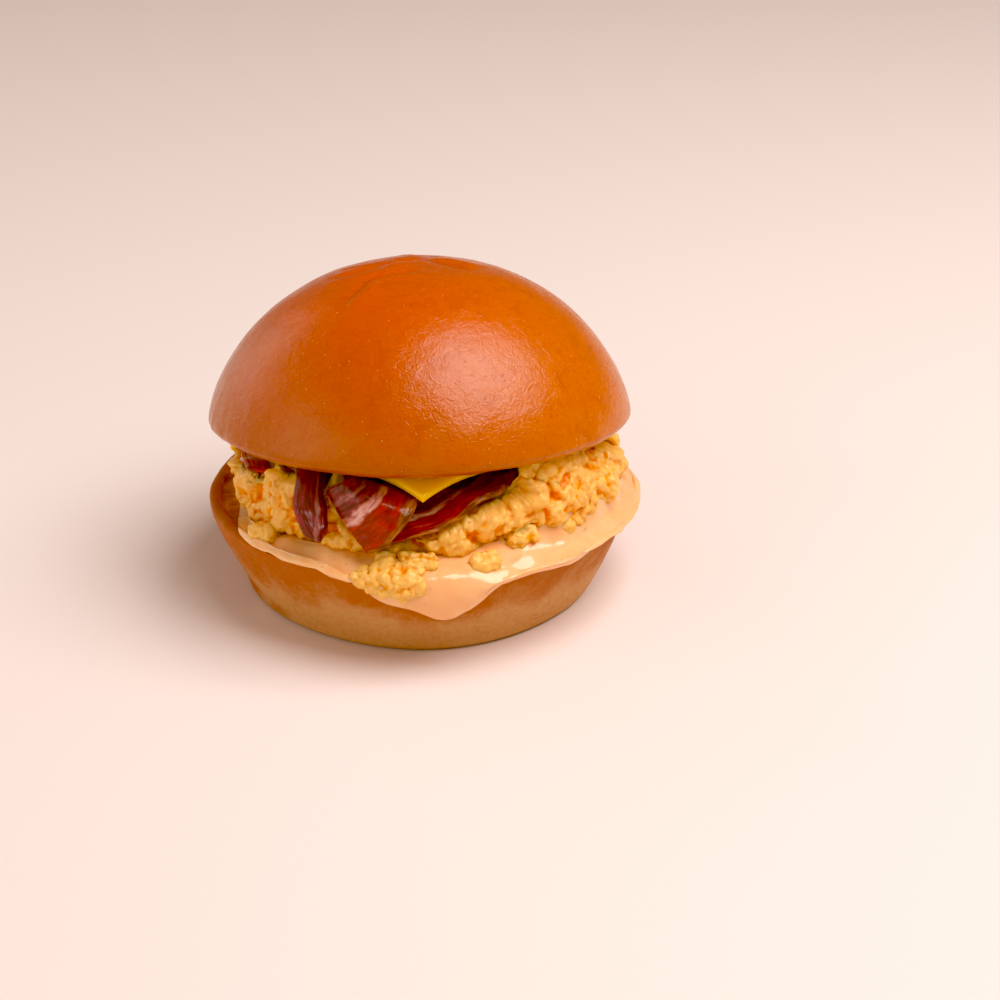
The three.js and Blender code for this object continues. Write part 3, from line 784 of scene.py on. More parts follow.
@dataclass
class Heel:
    """The lower half of the bun: a flaring cup of crust with a flat underside and a rolled rim.

    Attributes:
        base_radius, base_fillet: radius of the flat underside's corner, and how round that corner is.
        rim_radius, rim_height: radius and height of the rim.
        rim_lean: how much higher the rim is at the front, and lower at the back.
        rim_round: how round the rim is.
        dish: how far the cut face lies below the rim.
        tear, tear_depth, tear_width: where the rim has a small hole, and its size.
        cut_rows: how many rings of points the cut face has.
        columns: how many sections the mesh has.
    """

    base_radius: float = 45.6
    base_fillet: float = 3.0
    rim_radius: float = 56.0
    rim_height: float = 24.2
    rim_lean: float = 2.0
    rim_round: float = 1.1
    dish: float = 1.4
    tear: Triple = (-38.6, -39.0, 25.4)
    tear_depth: float = 1.6
    tear_width: float = 1.3
    cut_rows: int = 44
    columns: int = 420

    def uneven(self, angle: Array) -> Array:
        """The share by which the radius differs from its mean at an angle."""
        return 1 + 0.013 * np.cos(2 * (angle + math.radians(62))) + 0.006 * np.cos(5 * angle + 1)

    def rim_at(self, angle: Array) -> Array:
        """The rim's height at an angle."""
        return self.rim_height - self.rim_lean * np.sin(angle)

    def cut_face_at(self, angle: Array, radius: Array) -> Array:
        """The height of the cut face, inside the rim."""
        return self.rim_height - self.dish - self.rim_lean * radius * np.sin(angle) / self.rim_radius

    def side_radius(self, share: Array) -> Array:
        """The side's radius at a share of the way from the table to the rim: nearly a cone, with a belly."""
        return self.base_radius + (self.rim_radius - self.base_radius) * (1 - (1 - share) ** 1.3)

    def surface(self) -> Surface:
        """Works out the heel.

        The section runs from the underside's middle round the corner, up the side, over the rim and in along
        the cut face. Dents and grain then move each point along its normal.

        Returns:
            The surface, with the marks bake and cut.
        """
        angle = full_turn(self.columns)
        rim = self.rim_at(angle)
        rows = [(0 * angle, 0 * angle)]
        corner = self.side_radius(self.base_fillet / rim) - self.base_fillet
        for share in np.linspace(0.2, 1, 7):
            rows.append((corner * share, 0 * angle))
        for bend in np.radians(np.linspace(12, 66, 7)):
            lift = self.base_fillet * (1 - np.cos(bend))
            rows.append((corner + self.base_fillet * np.sin(bend), lift + 0 * angle))
        for share in np.linspace(0.15, 0.94, 56):
            rows.append((self.side_radius(share) + 0 * angle, share * rim))
        for bend in np.radians(np.linspace(0, 180, 14)):
            inward = self.rim_round * (1.6 - 1.6 * np.cos(bend))
            rows.append((self.rim_radius - inward + 0 * angle, rim - self.rim_round * (1 - np.sin(bend))))
        for share in np.linspace(0.03, 1, self.cut_rows) ** 1.5:
            r = (self.rim_radius - self.rim_round * 3.2) * (1 - share)
            drop = smooth_step(np.array(share), 0.0, 0.06)
            level = (rim - self.rim_round) * (1 - drop) + self.cut_face_at(angle, r) * drop
            rows.append((r + 0 * angle, level))
        radius, height = np.array(rows).transpose(1, 0, 2)
        radius = radius * self.uneven(angle)
        radius[-1] = 0
        surface = turned_surface(radius, height, angle)
        first_cut = len(rows) - self.cut_rows - 4
        cut_row = smooth_step(np.arange(len(rows)), first_cut - 3, first_cut + 3)
        cut = np.concatenate([np.repeat(cut_row[1:-1], self.columns), cut_row[[0, -1]]])
        p = surface.points
        crumb = layered_noise(p, 3.2, 31, 3) * 0.35 - 0.5 * smooth_step(lump_field(p, 2.2, 37), 0.55, 1.0)
        dents = layered_noise(p, 22, 5, 2) * 0.7 + layered_noise(p, 5, 7, 2) * 0.12
        push = (dents * (1 - cut) + crumb * cut * 0.8) * smooth_step(p[:, 2], 0.5, 4)
        tear = np.linalg.norm(p - np.array(self.tear), axis=1)
        surface.swell(push - self.tear_depth * np.exp(-((tear / self.tear_width) ** 2)))
        surface.points[:, 2] = np.maximum(surface.points[:, 2], 0)
        turn = np.arctan2(p[:, 1], p[:, 0])
        low = smooth_step(p[:, 2], 18, 6) * smooth_step(np.cos(turn - math.radians(-72)), -0.1, 0.8)
        bake = np.clip(0.8 - 0.9 * low + 0.15 * smooth_step(p[:, 2], 16, 24), 0, 1)
        surface.marks = {"bake": bake, "cut": cut}
        return surface

    def build(self) -> None:
        """Makes the heel and dresses it."""
        self.surface().add_piece("heel_bun", HeelCrust().build(), Slot.HEEL_CRUST, "heel")


@dataclass
class Crown:
    """The upper half of the bun: a slightly pointed dome with a turned-in lip, leaning back.

    Attributes:
        radius: radius of its widest circle.
        dome: height of the dome over that circle.
        lip_depth, lip_inset: how far the cut face lies below it, and how far the lip turns in.
        dish: how far the cut face is hollowed at its middle.
        centre: the middle of the widest circle.
        lean_back, lean_side: degrees by which the front and the right are raised.
        wrinkle: how far the fine wrinkles at its left stand out.
        columns: how many sections the mesh has.
        creases: for each its line, as places seen from above in the crown's frame, its depth and its width.
    """

    radius: float = 55.0
    dome: float = 39.3
    lip_depth: float = 4.0
    lip_inset: float = 9.5
    dish: float = 1.5
    centre: Triple = (0.5, 0.0, 46.4)
    lean_back: float = 9.5
    lean_side: float = 0.8
    wrinkle: float = 0.32
    columns: int = 470
    creases: tuple[tuple[tuple[tuple[float, float], ...], float, float], ...] = (
        (((4.0, 5.0), (-5.0, 2.0), (-12.0, 1.5), (-19.0, 4.0)), 1.0, 1.8),
        (((1.0, -6.5), (-7.5, -9.0), (-12.5, -11.0), (-15.0, -17.0), (-18.0, -22.0)), 0.7, 1.4),
        (((2.0, 4.0), (8.0, 0.5), (15.0, -3.0)), 0.7, 1.8),
        (((-5.0, 2.0), (-9.0, -3.0), (-17.0, -4.5), (-23.0, -3.0)), 0.6, 1.5),
        (((-1.0, 4.0), (2.5, 11.0), (0.0, 17.0)), 0.5, 2.0),
        (((41.5, -27.0), (43.0, -31.0), (42.0, -35.0)), 0.2, 1.2),
        (((-44.0, -24.0), (-44.5, -30.0), (-42.5, -34.0)), 0.12, 1.0),
    )

    def ceiling_at(self, x: Array, y: Array) -> Array:
        """The height of the cut face over a place on the table, taken as a plane.

        Args:
            x: the place's x.
            y: its y.

        Returns:
            The height.
        """
        back = math.tan(math.radians(self.lean_back)) * (y - self.centre[1])
        side = math.tan(math.radians(self.lean_side)) * (x - self.centre[0])
        return self.centre[2] - self.lip_depth - back + side

    def turned(self, points: Array) -> Array:
        """Carries points from the crown's own frame into the sandwich's.

        The turn is by minus lean_back about X and minus lean_side about Y.

        Args:
            points: one to a row.

        Returns:
            The points in the sandwich's frame.
        """
        a, b = -math.radians(self.lean_back), -math.radians(self.lean_side)
        about_x = np.array([[1, 0, 0], [0, math.cos(a), -math.sin(a)], [0, math.sin(a), math.cos(a)]])
        about_y = np.array([[math.cos(b), 0, math.sin(b)], [0, 1, 0], [-math.sin(b), 0, math.cos(b)]])
        return points @ (about_x @ about_y).T + np.array(self.centre)

    def surface(self) -> Surface:
        """Works out the crown.

        The dome's radius is radius * cos(t)^0.84 and its height dome * sin(t)^1.4, for t from 0 to 90
        degrees. Below it the lip is a quarter of an ellipse, and the cut face is nearly flat.

        Returns:
            The surface, with the marks rise, painted_fold_shade, which paints shade in the creases, and cut.
        """
        angle = full_turn(self.columns)
        under = np.linspace(0, 0.97, 20)
        lip = np.radians(np.linspace(88, 4, 22))
        dome = np.radians(90 * np.linspace(0, 1, 165) ** 0.9)
        r = np.concatenate([
            (self.radius - self.lip_inset) * under,
            self.radius - self.lip_inset * (1 - np.cos(lip)),
            self.radius * np.cos(dome) ** 0.84,
        ])
        z = np.concatenate([
            -self.lip_depth + self.dish * (1 - under**2),
            -self.lip_depth * np.sin(lip),
            self.dome * np.sin(dome) ** 1.4,
        ])
        r[-1] = 0
        uneven = 1 + 0.006 * np.cos(3 * angle + 0.7) + 0.004 * np.cos(5 * angle + 2)
        surface = turned_surface(r[:, None] * uneven, z[:, None] + 0 * angle, angle)
        local = surface.points
        rise = np.clip(local[:, 2] / self.dome, 0, 1)
        cut = smooth_step(local[:, 2], -0.7 * self.lip_depth, -0.95 * self.lip_depth)
        painted_fold_shade, fold_depth = self.folds(local)
        push = layered_noise(local, 26, 3, 2) * 0.55 + layered_noise(local, 7, 9, 2) * 0.10
        turn = np.degrees(np.arctan2(local[:, 1], local[:, 0]))
        wrinkled = smooth_step(np.abs(turn + 172), 32, 8) * smooth_step(rise, 0.75, 0.2)
        strips = np.stack([turn / 5.5, 0.7 * rise, 0 * turn], axis=-1)
        push += self.wrinkle * wrinkled * layered_noise(strips, 1.0, 61, 2)
        surface.swell(push * (1 - 0.5 * cut) + cut * layered_noise(local, 3, 12, 2) * 0.25 - fold_depth)
        surface.points = self.turned(surface.points)
        surface.marks = {"rise": rise, "painted_fold_shade": painted_fold_shade, "cut": cut}
        return surface

    def folds(self, local: Array) -> tuple[Array, Array]:
        """The creases of the dough, each along a broken line on the dome seen from above.

        A crease fades out at both ends. Across it the depth is exp(-(d / width)^2), at distance d from the
        line, less a lower and wider ridge of that kind on its left. Noise makes the line waver.

        Args:
            local: points in the crown's own frame.

        Returns:
            How strongly painted shade darkens each point in a crease, and how deep it is pressed in.
        """
        depth = np.zeros(len(local))
        waver = np.stack([layered_noise(local, 8, 43 + k, 3) for k in range(2)], axis=-1) * 1.6
        spot = local[:, :2] + waver
        for line, deep, wide in self.creases:
            nearest = np.full(len(local), 99.0)
            signed = nearest
            taper = np.ones(len(local))
            for number, (start, stop) in enumerate(zip(np.array(line[:-1]), np.array(line[1:]))):
                step = stop - start
                t = np.clip((spot - start) @ step / (step @ step), 0, 1)
                gap = spot - start - t[:, None] * step
                far = np.linalg.norm(gap, axis=1)
                side = np.sign(step[0] * gap[:, 1] - step[1] * gap[:, 0])
                along = (number + t) / (len(line) - 1)
                signed = np.where(far < nearest, far * side, signed)
                taper = np.where(far < nearest, np.sqrt(np.clip(np.sin(np.pi * along), 0, 1)), taper)
                nearest = np.minimum(nearest, far)
            groove = np.exp(-((signed / wide) ** 2))
            ridge = np.exp(-(((signed - 2.2 * wide) / (1.7 * wide)) ** 2))
            depth += deep * taper * (groove - 0.7 * ridge)
        return np.clip(depth * 0.4, 0, 0.3), depth

    def build(self) -> None:
        """Makes the crown and dresses it."""
        self.surface().add_piece("crown_bun", GlazedCrust().build(), Slot.CRUST, "crown")


# The filling


@dataclass
class Cheese:
    """One square slice laid as a diamond, whose corners bend down past a flat middle.

    Attributes:
        crown: the crown that it lies under.
        side, thickness: the slice's side and thickness.
        centre: its middle, seen from above.
        flat_radius: how far out it lies flat.
        bends: degrees of bend for each millimetre past that, round the slice.
        cells: how many cells a side has.
    """

    crown: Crown
    side: float = 80.0
    thickness: float = 2.4
    centre: tuple[float, float] = (2.5, 3.0)
    flat_radius: float = 43.0
    bends: RoundCurve = RoundCurve(((0, 7.6), (90, 3.4), (180, 5.6), (270, 3.0)))
    cells: int = 150

    def drop_at(self, x: Array, y: Array) -> Array:
        """How far the slice has bent down at a place seen from above.

        Args:
            x: the place's x.
            y: its y.

        Returns:
            The drop, 0 beside the slice.
        """
        u, v = x - self.centre[0], y - self.centre[1]
        curvature = np.radians(self.bends(np.arctan2(v, u)))
        bend = np.arcsin(np.clip(curvature * (np.hypot(u, v) - self.flat_radius), 0, 1))
        inside = smooth_step(self.side * math.sqrt(0.5) - np.abs(u) - np.abs(v), -5, 0)
        return (1 - np.cos(bend)) / curvature * inside

    def face(self, depth: Array, u: Array, v: Array) -> Array:
        """Points of the slice: past the flat part, the radius follows an arc of constant bend.

        Args:
            depth: how far each point lies below the top face.
            u: its flat place along the slice's right-hand diagonal.
            v: its flat place along the diagonal to the back.

        Returns:
            The points.
        """
        angle = np.arctan2(v, u)
        curvature = np.radians(self.bends(angle))
        bend = curvature * np.maximum(0, np.hypot(u, v) - self.flat_radius)
        radius = np.minimum(np.hypot(u, v), self.flat_radius) + np.sin(bend) * (1 / curvature - depth)
        x = self.centre[0] + radius * np.cos(angle)
        y = self.centre[1] + radius * np.sin(angle)
        drop = (1 - np.cos(bend)) / curvature + depth * np.cos(bend)
        return np.stack([x, y, self.crown.ceiling_at(x, y) - GAP - drop], axis=-1)

    def surface(self) -> Surface:
        """Works out the slice. Its edges are rounded as a quarter circle seen in section.

        Returns:
            The surface.
        """
        share = np.linspace(-1, 1, self.cells + 1)
        share = np.sign(share) * (1 - (1 - np.abs(share)) ** 1.6)
        a, b = np.meshgrid(share, share, indexing="ij")
        half = self.thickness / 2
        to_edge = (1 - np.maximum(np.abs(a), np.abs(b))) * self.side / 2
        round_off = half * np.sqrt(np.clip(1 - (1 - np.minimum(to_edge / half, 1)) ** 2, 0.02, 1))
        diagonal = self.side / 2 * math.sqrt(0.5)
        u, v = (a + b) * diagonal, (b - a) * diagonal
        middle = half + 0.15 * layered_noise(np.stack([u, v, 0 * u], axis=-1), 9, 77, 2)
        faces = [self.face(middle + way * round_off, u, v) for way in (-1, 1)]
        return sheet_surface(*faces, np.stack([a, b], axis=-1))

    def build(self) -> None:
        """Makes the slice and dresses it."""
        self.surface().add_piece("cheese_slice", YellowCheese().build(), Slot.CHEESE, "cheese")


@dataclass
class Rasher:
    """A ribbon of bacon between two long edges.

    Attributes:
        name, node: the piece's name, and the CAD node that it stands for.
        rind: places on its fatty outer edge. The third number is a height, or, where it isn't above zero, how
            far the place lies below the level just under the cheese.
        inner: places on its other edge, as many.
        cheese: the slice that it lies under.
        thickness: the rasher's thickness.
        ripple_height, ripple_length: how far its ripples rise and fall, and their length.
        bow: how far its middle stands out of the plane of its edges.
        ragged: how far its last end is rounded off, as a share of its length.
        lean: which part of the finish's map it shows, from its rind to its other edge.
        seed: tells one rasher's unevenness from another's.
    """

    name: str
    node: str
    rind: Places
    inner: Places
    cheese: Cheese
    thickness: float = 1.5
    ripple_height: float = 0.5
    ripple_length: float = 19.0
    bow: float = 0.0
    ragged: float = 0.0
    lean: tuple[float, float] = (0.0, 1.0)
    seed: int = 1

    def edge(self, places: Places, share: Array) -> Array:
        """A smooth curve through the places, with the low ones put under the cheese.

        Args:
            places: the edge's places.
            share: how far along the edge each wanted point lies.

        Returns:
            The points.
        """
        spots = np.array(places, float)
        x, y, z = spots.T
        level = self.cheese.crown.ceiling_at(x, y) - 3 * GAP - self.cheese.thickness
        level -= self.thickness / 2 + self.ripple_height + self.cheese.drop_at(x, y)
        spots[:, 2] = np.where(z > 0, z, level + z)
        return through_points(spots, share)

    def surface(self) -> Surface:
        """Works out the rasher.

        A point is a blend of the two edges, moved along the ribbon's normal by bow, ripples and noise.
        The faces lie half a thickness either side, which falls off towards the edges as the distance's root.

        Returns:
            The surface, whose map runs along the rasher in centimetres and across it from 0 to 1.
        """
        fine = np.linspace(0, 1, 800)
        steps = np.linalg.norm(np.diff(self.edge(self.rind, fine), axis=0), axis=1)
        length = np.concatenate([[0], np.cumsum(steps)])
        even = np.linspace(0, length[-1], int(length[-1] / 0.45))
        s = 0.5 - 0.5 * np.cos(np.linspace(0, np.pi, 47))
        ragged = self.ragged * (np.abs(2 * s - 1) ** 3 + 0.25 * np.sin(11 * s + self.seed))
        t = np.interp(even, length, fine)
        t = t[:, None] * (1 - np.outer(t**3, ragged))
        rind, inner = (self.edge(line, t.ravel()).reshape(*t.shape, 3) for line in (self.rind, self.inner))
        flat = rind * (1 - s)[:, None] + inner * s[:, None]
        normal = np.cross(np.gradient(flat, axis=0), np.gradient(flat, axis=1))
        normal /= np.maximum(np.linalg.norm(normal, axis=-1, keepdims=True), 1e-9)
        far = even[:, None] + 0 * s
        edge_share = np.abs(2 * s - 1)
        ripple = np.sin(2 * np.pi * (far / self.ripple_length + s / 4)) * self.ripple_height
        ruffle = np.stack([far / 3.2, s + 0 * far, 0 * far], axis=-1)
        ripple += 0.9 * value_noise(ruffle, 1.0, self.seed) * self.ripple_height * (0.4 + edge_share**2)
        ripple += self.bow * (1 - edge_share**2)
        grained = np.stack([far / 5, s * 18 + 0 * far, 0 * far], axis=-1)
        lifted = ripple + layered_noise(grained, 1.0, self.seed + 5, 3) * 0.22
        margin = np.minimum(s, 1 - s) * np.linalg.norm(inner - rind, axis=-1)
        ends = np.minimum(far, length[-1] - far)
        half = self.thickness / 2 * np.sqrt(np.clip(np.minimum(margin, ends) / 0.7, 0.03, 1))
        faces = [flat + normal * (lifted + way * half)[..., None] for way in (1, -1)]
        start, end = self.lean
        return sheet_surface(*faces, np.stack([far / 10, start + (end - start) * s + 0 * far], axis=-1))

    def build(self, finish: bpy.types.Material) -> None:
        """Makes the rasher and dresses it."""
        self.surface().add_piece(self.name, finish, Slot.BACON, self.node)


def rashers(cheese: Cheese) -> list[Rasher]:
    """The rashers of the sandwich.

    Args:
        cheese: the slice that they lie under.

    Returns:
        The folded one at the front, the one left of it, and the one at the far left.
    """
    folded = Rasher(
        "bacon_folded_rasher", "bacon_folded",
        rind=(
            (37, 37, -2), (35, 12, -2), (30, -18, -1.6), (21.5, -43, -1), (6, -52, 37.6), (-6, -52.6, 33.6),
            (-10, -54, 32.6), (-7, -55.4, 34.4), (-3, -56, 39.4), (0, -53.2, 42.4), (2.6, -43, -1),
            (6, -22, -0.6), (9, 0, 0),
        ),
        inner=(
            (17, 40, -2.6), (15, 14, -2.6), (11, -12, -2.8), (5, -34, -3.6), (-8, -44, 40.6),
            (-18.4, -42.8, 42.4), (-21.4, -44.2, 44.6), (-20.2, -46.8, 47), (-17.2, -46.6, 48.6),
            (-16.4, -42, 47.6), (-15, -32, -0.4), (-12, -16, 0), (-9, 4, 0),
        ),
        cheese=cheese, bow=0.6, seed=3,
    )
    left = Rasher(
        "bacon_left_rasher", "bacon_left",
        rind=(
            (-35, 37, 0), (-36, 12, 0), (-35, -14, 0), (-31.6, -33, 45.6), (-29.4, -43, 47.6),
            (-29.6, -47.4, 40), (-26.6, -49.8, 33.2),
        ),
        inner=(
            (-17, 39, 0), (-18.5, 16, 0), (-19.5, -8, 0), (-21, -29, -1.2), (-22.4, -39.6, 44),
            (-21.4, -46, 37.6), (-22, -48.8, 32.6),
        ),
        cheese=cheese, ragged=0.06, lean=(1.0, 0.55), bow=1.6, seed=11,
    )
    side = Rasher(
        "bacon_side_rasher", "bacon_side",
        rind=((-45, 20, -1), (-46, 4, -2.4), (-46, -12, -1.4), (-43, -25.5, -0.2)),
        inner=((-38, 23, -0.4), (-39.5, 6, -0.6), (-39, -10, -0.4), (-36.6, -27, 0)),
        cheese=cheese, lean=(0.1, 0.4), seed=19,
    )
    return [folded, left, side]


@dataclass
class Sauce:
    """A layer of sauce on the heel, thick round the egg at the front and right, that runs over the rim.

    Attributes:
        heel: the heel that it lies on.
        deck: its thickness on the cut face.
        bead: its thickness where it hangs over the heel's side.
        shoulder: its height over the rim.
        columns: how many sections the mesh has.
        top_radius, top_height: where its top edge lies, round the sandwich.
        foot_radius, foot_height: where its lower edge lies.
        fullness: how thick the lower edge is, as a share of the greatest.
    """

    heel: Heel
    deck: float = 1.3
    bead: float = 1.9
    shoulder: float = 2.6
    columns: int = 560
    top_radius: RoundCurve = RoundCurve((
        (-162, 45), (-150, 46), (-142, 48.5), (-120, 50), (-90, 48.5), (-62, 49.5), (-40, 51.5), (-15, 52),
        (28, 49.5), (100, 49),
    ))
    top_height: RoundCurve = RoundCurve((
        (-162, 24.6), (-150, 25.2), (-144, 26.2), (-136, 28.0), (-125, 29.4), (-90, 30), (-62, 31.5),
        (-42, 36), (-15, 35), (12, 31), (28, 26.5), (100, 23.4),
    ))
    foot_radius: RoundCurve = RoundCurve((
        (-156, 50.5), (-145, 54.2), (-128, 55.2), (-112, 55.6), (-101, 57.4), (-20, 57.6), (4, 56.4),
        (18, 53.2), (100, 50.5),
    ))
    foot_height: RoundCurve = RoundCurve((
        (-172, 22.0), (-158, 23.0), (-151, 24.4), (-144, 25.6), (-137, 26.2), (-124, 26.4), (-112, 26.0),
        (-104, 23.5), (-97, 19.5), (-90, 18.4), (-83, 15.6), (-77, 17), (-71, 22), (-63, 24.6), (-50, 23.8),
        (-34, 24), (-20, 22), (2, 22.5), (14, 23.4), (28, 21.6), (60, 20.6), (100, 20.4), (140, 20.8),
    ))
    fullness: RoundCurve = RoundCurve((
        (-158, 0.5), (-145, 0.95), (-124, 1.1), (-104, 1.1), (-60, 1.15), (0, 1.1), (18, 0.7), (40, 0.45),
        (100, 0.4),
    ))

    def foot(self, angle: Array) -> Array:
        """The radius and height of the sauce's lower edge.

        Args:
            angle: angles in radians.

        Returns:
            The two, in rows, for each angle.
        """
        height = self.foot_height(angle)
        share = np.minimum(1, height / self.heel.rim_at(angle))
        side = self.heel.side_radius(share) * self.heel.uneven(angle) + self.bead * 0.9
        radius = self.foot_radius(angle)
        outside = smooth_step(radius, 55.0, 57.0)
        return np.stack([radius + (np.maximum(side, radius) - radius) * outside, height])

    def section(self, angle: Array, share: Array) -> tuple[Array, Array]:
        """The outside of the sauce from its top edge to its foot.

        The curve runs through the top edge, a shoulder, a brow and the foot. The shoulder and brow lie over
        the rim where the foot hangs outside it, and otherwise on the way down.

        Args:
            angle: one for each column.
            share: how far down each row lies.

        Returns:
            The radius and height, rows by columns.
        """
        top = np.stack([self.top_radius(angle), self.top_height(angle)])
        foot = self.foot(angle)
        rim = np.stack([self.heel.rim_radius * self.heel.uneven(angle), self.heel.rim_at(angle)])
        over = smooth_step(foot[0] - rim[0], -2, 1)
        lift = np.array([[0.0], [0.7]])
        shoulder = (top * 0.6 + foot * 0.4 + lift) * (1 - over)
        shoulder += (rim + np.array([[-2.5], [self.shoulder]])) * over
        brow = (top * 0.2 + foot * 0.8 + lift) * (1 - over) + (rim + np.array([[self.bead], [-0.4]])) * over
        places = np.stack([2 * top - shoulder, top, shoulder, brow, foot, 2 * foot - brow])
        along = np.clip(share, 0, 1) * 3
        k = np.minimum(along.astype(int), 2)
        a, b, c, d = (places[k + i] for i in range(4))
        curve = cubic(b, c, (c - a) / 2, (d - b) / 2, (along - k)[:, None, None])
        return curve[:, 0], curve[:, 1]

    def surface(self) -> Surface:
        """Works out the sauce: the deck, the outside down to the foot, and a rounded edge back to the heel.

        Returns:
            The surface.
        """
        angle = full_turn(self.columns)
        share = np.linspace(0, 1, 46)
        out_r, out_z = self.section(angle, share)
        half = self.bead * 1.1 * self.fullness(angle)
        out_z = out_z + half * 0.9 * share[:, None] ** 4
        out_r = out_r + 0.9 * np.outer(np.exp(-(((share - 0.86) / 0.16) ** 2)), self.fullness(angle))
        radii = [0 * angle, out_r[0] * 0.45, out_r[0] * 0.9, *out_r]
        heights = [self.heel.cut_face_at(angle, r) + GAP + self.deck for r in radii[:3]] + [*out_z]
        for bend in np.radians(np.linspace(20, 200, 12)):
            radii.append(out_r[-1] - half + half * np.cos(bend))
            heights.append(out_z[-1] - half * 1.05 * np.sin(bend))
        for inward, down in ((0.9, 0.2), (4.0, 1.2), (9.0, 2.2)):
            radii.append(out_r[-1] - 2 * half - inward)
            heights.append(out_z[-1] - down)
        radii.append(0 * angle)
        heights.append(self.heel.cut_face_at(angle, 0 * angle) - 3.0)
        surface = turned_surface(np.array(radii)[::-1], np.array(heights)[::-1], angle)
        p = surface.points
        surface.swell(layered_noise(p, 8.0, 51, 2) * 0.85 + layered_noise(p, 3.0, 53, 2) * 0.15)
        return surface

    def build(self) -> None:
        """Makes the sauce and dresses it."""
        self.surface().add_piece("pink_sauce_layer", PinkSauce().build(), Slot.SAUCE, "sauce")


@dataclass
class Toppings:
    """The bacon and the cheese as scattered points, which the egg gives way to.

    Attributes:
        points: one to a row.
        hang_radius: points past this radius hang in front of the egg.
        wall_radius: the radius at which places in front are compared.
    """

    points: Array
    hang_radius: float = 45.0
    wall_radius: float = 52.0

    def least(self, places: Array, marks: Array, level: Array, flare: float) -> Array:
        """The lowest limit at each place: a mark's own level plus flare times the distance past its edge.

        Args:
            places: where the limits are wanted.
            marks: where the toppings' points lie, in the same coordinates.
            level: the limit right at each mark.
            flare: how fast the limit rises beside it.

        Returns:
            One limit for each place.
        """
        found = []
        marks, level = marks.astype(np.float32), level.astype(np.float32)
        squares = np.sum(marks * marks, axis=1)
        for part in np.array_split(places.astype(np.float32), max(1, len(places) // 6000)):
            gap = np.sum(part * part, axis=1)[:, None] + squares - 2 * part @ marks.T
            beside = np.maximum(0, np.sqrt(np.maximum(gap, 0)) - 0.9)
            found.append(np.min(level + flare * beside, axis=1))
        return np.concatenate(found)

    def on_wall(self, places: Array) -> Array:
        """Carries places out or in to the wall's radius."""
        scale = self.wall_radius / np.hypot(places[:, 0], places[:, 1])
        return places * np.stack([scale, scale, 0 * scale + 1], axis=-1)

    def give_way(self, places: Array, clearance: float, flare: float) -> Array:
        """Moves places in behind the toppings that hang in front of them, and down under those over them.

        Args:
            places: one to a row.
            clearance: how far they keep off the toppings' points.
            flare: how fast they may swell again beside them.

        Returns:
            The moved places.
        """
        moved = places.copy()
        own = np.hypot(self.points[:, 0], self.points[:, 1])
        lying = self.points[own < self.hang_radius + 2].astype(np.float32)
        near = (np.hypot(moved[:, 0], moved[:, 1]) < 51) & (moved[:, 2] > 34)
        level = self.least(moved[near, :2], lying[:, :2], lying[:, 2] - clearance, flare)
        moved[near, 2] = np.minimum(moved[near, 2], level)
        hanging = own > self.hang_radius
        radius = np.hypot(moved[:, 0], moved[:, 1])
        near = radius > 36
        marks = self.on_wall(self.points[hanging])
        level = self.least(self.on_wall(moved[near]), marks, own[hanging] - clearance, flare)
        moved[near, :2] *= (np.minimum(radius[near], level) / radius[near])[:, None]
        return moved


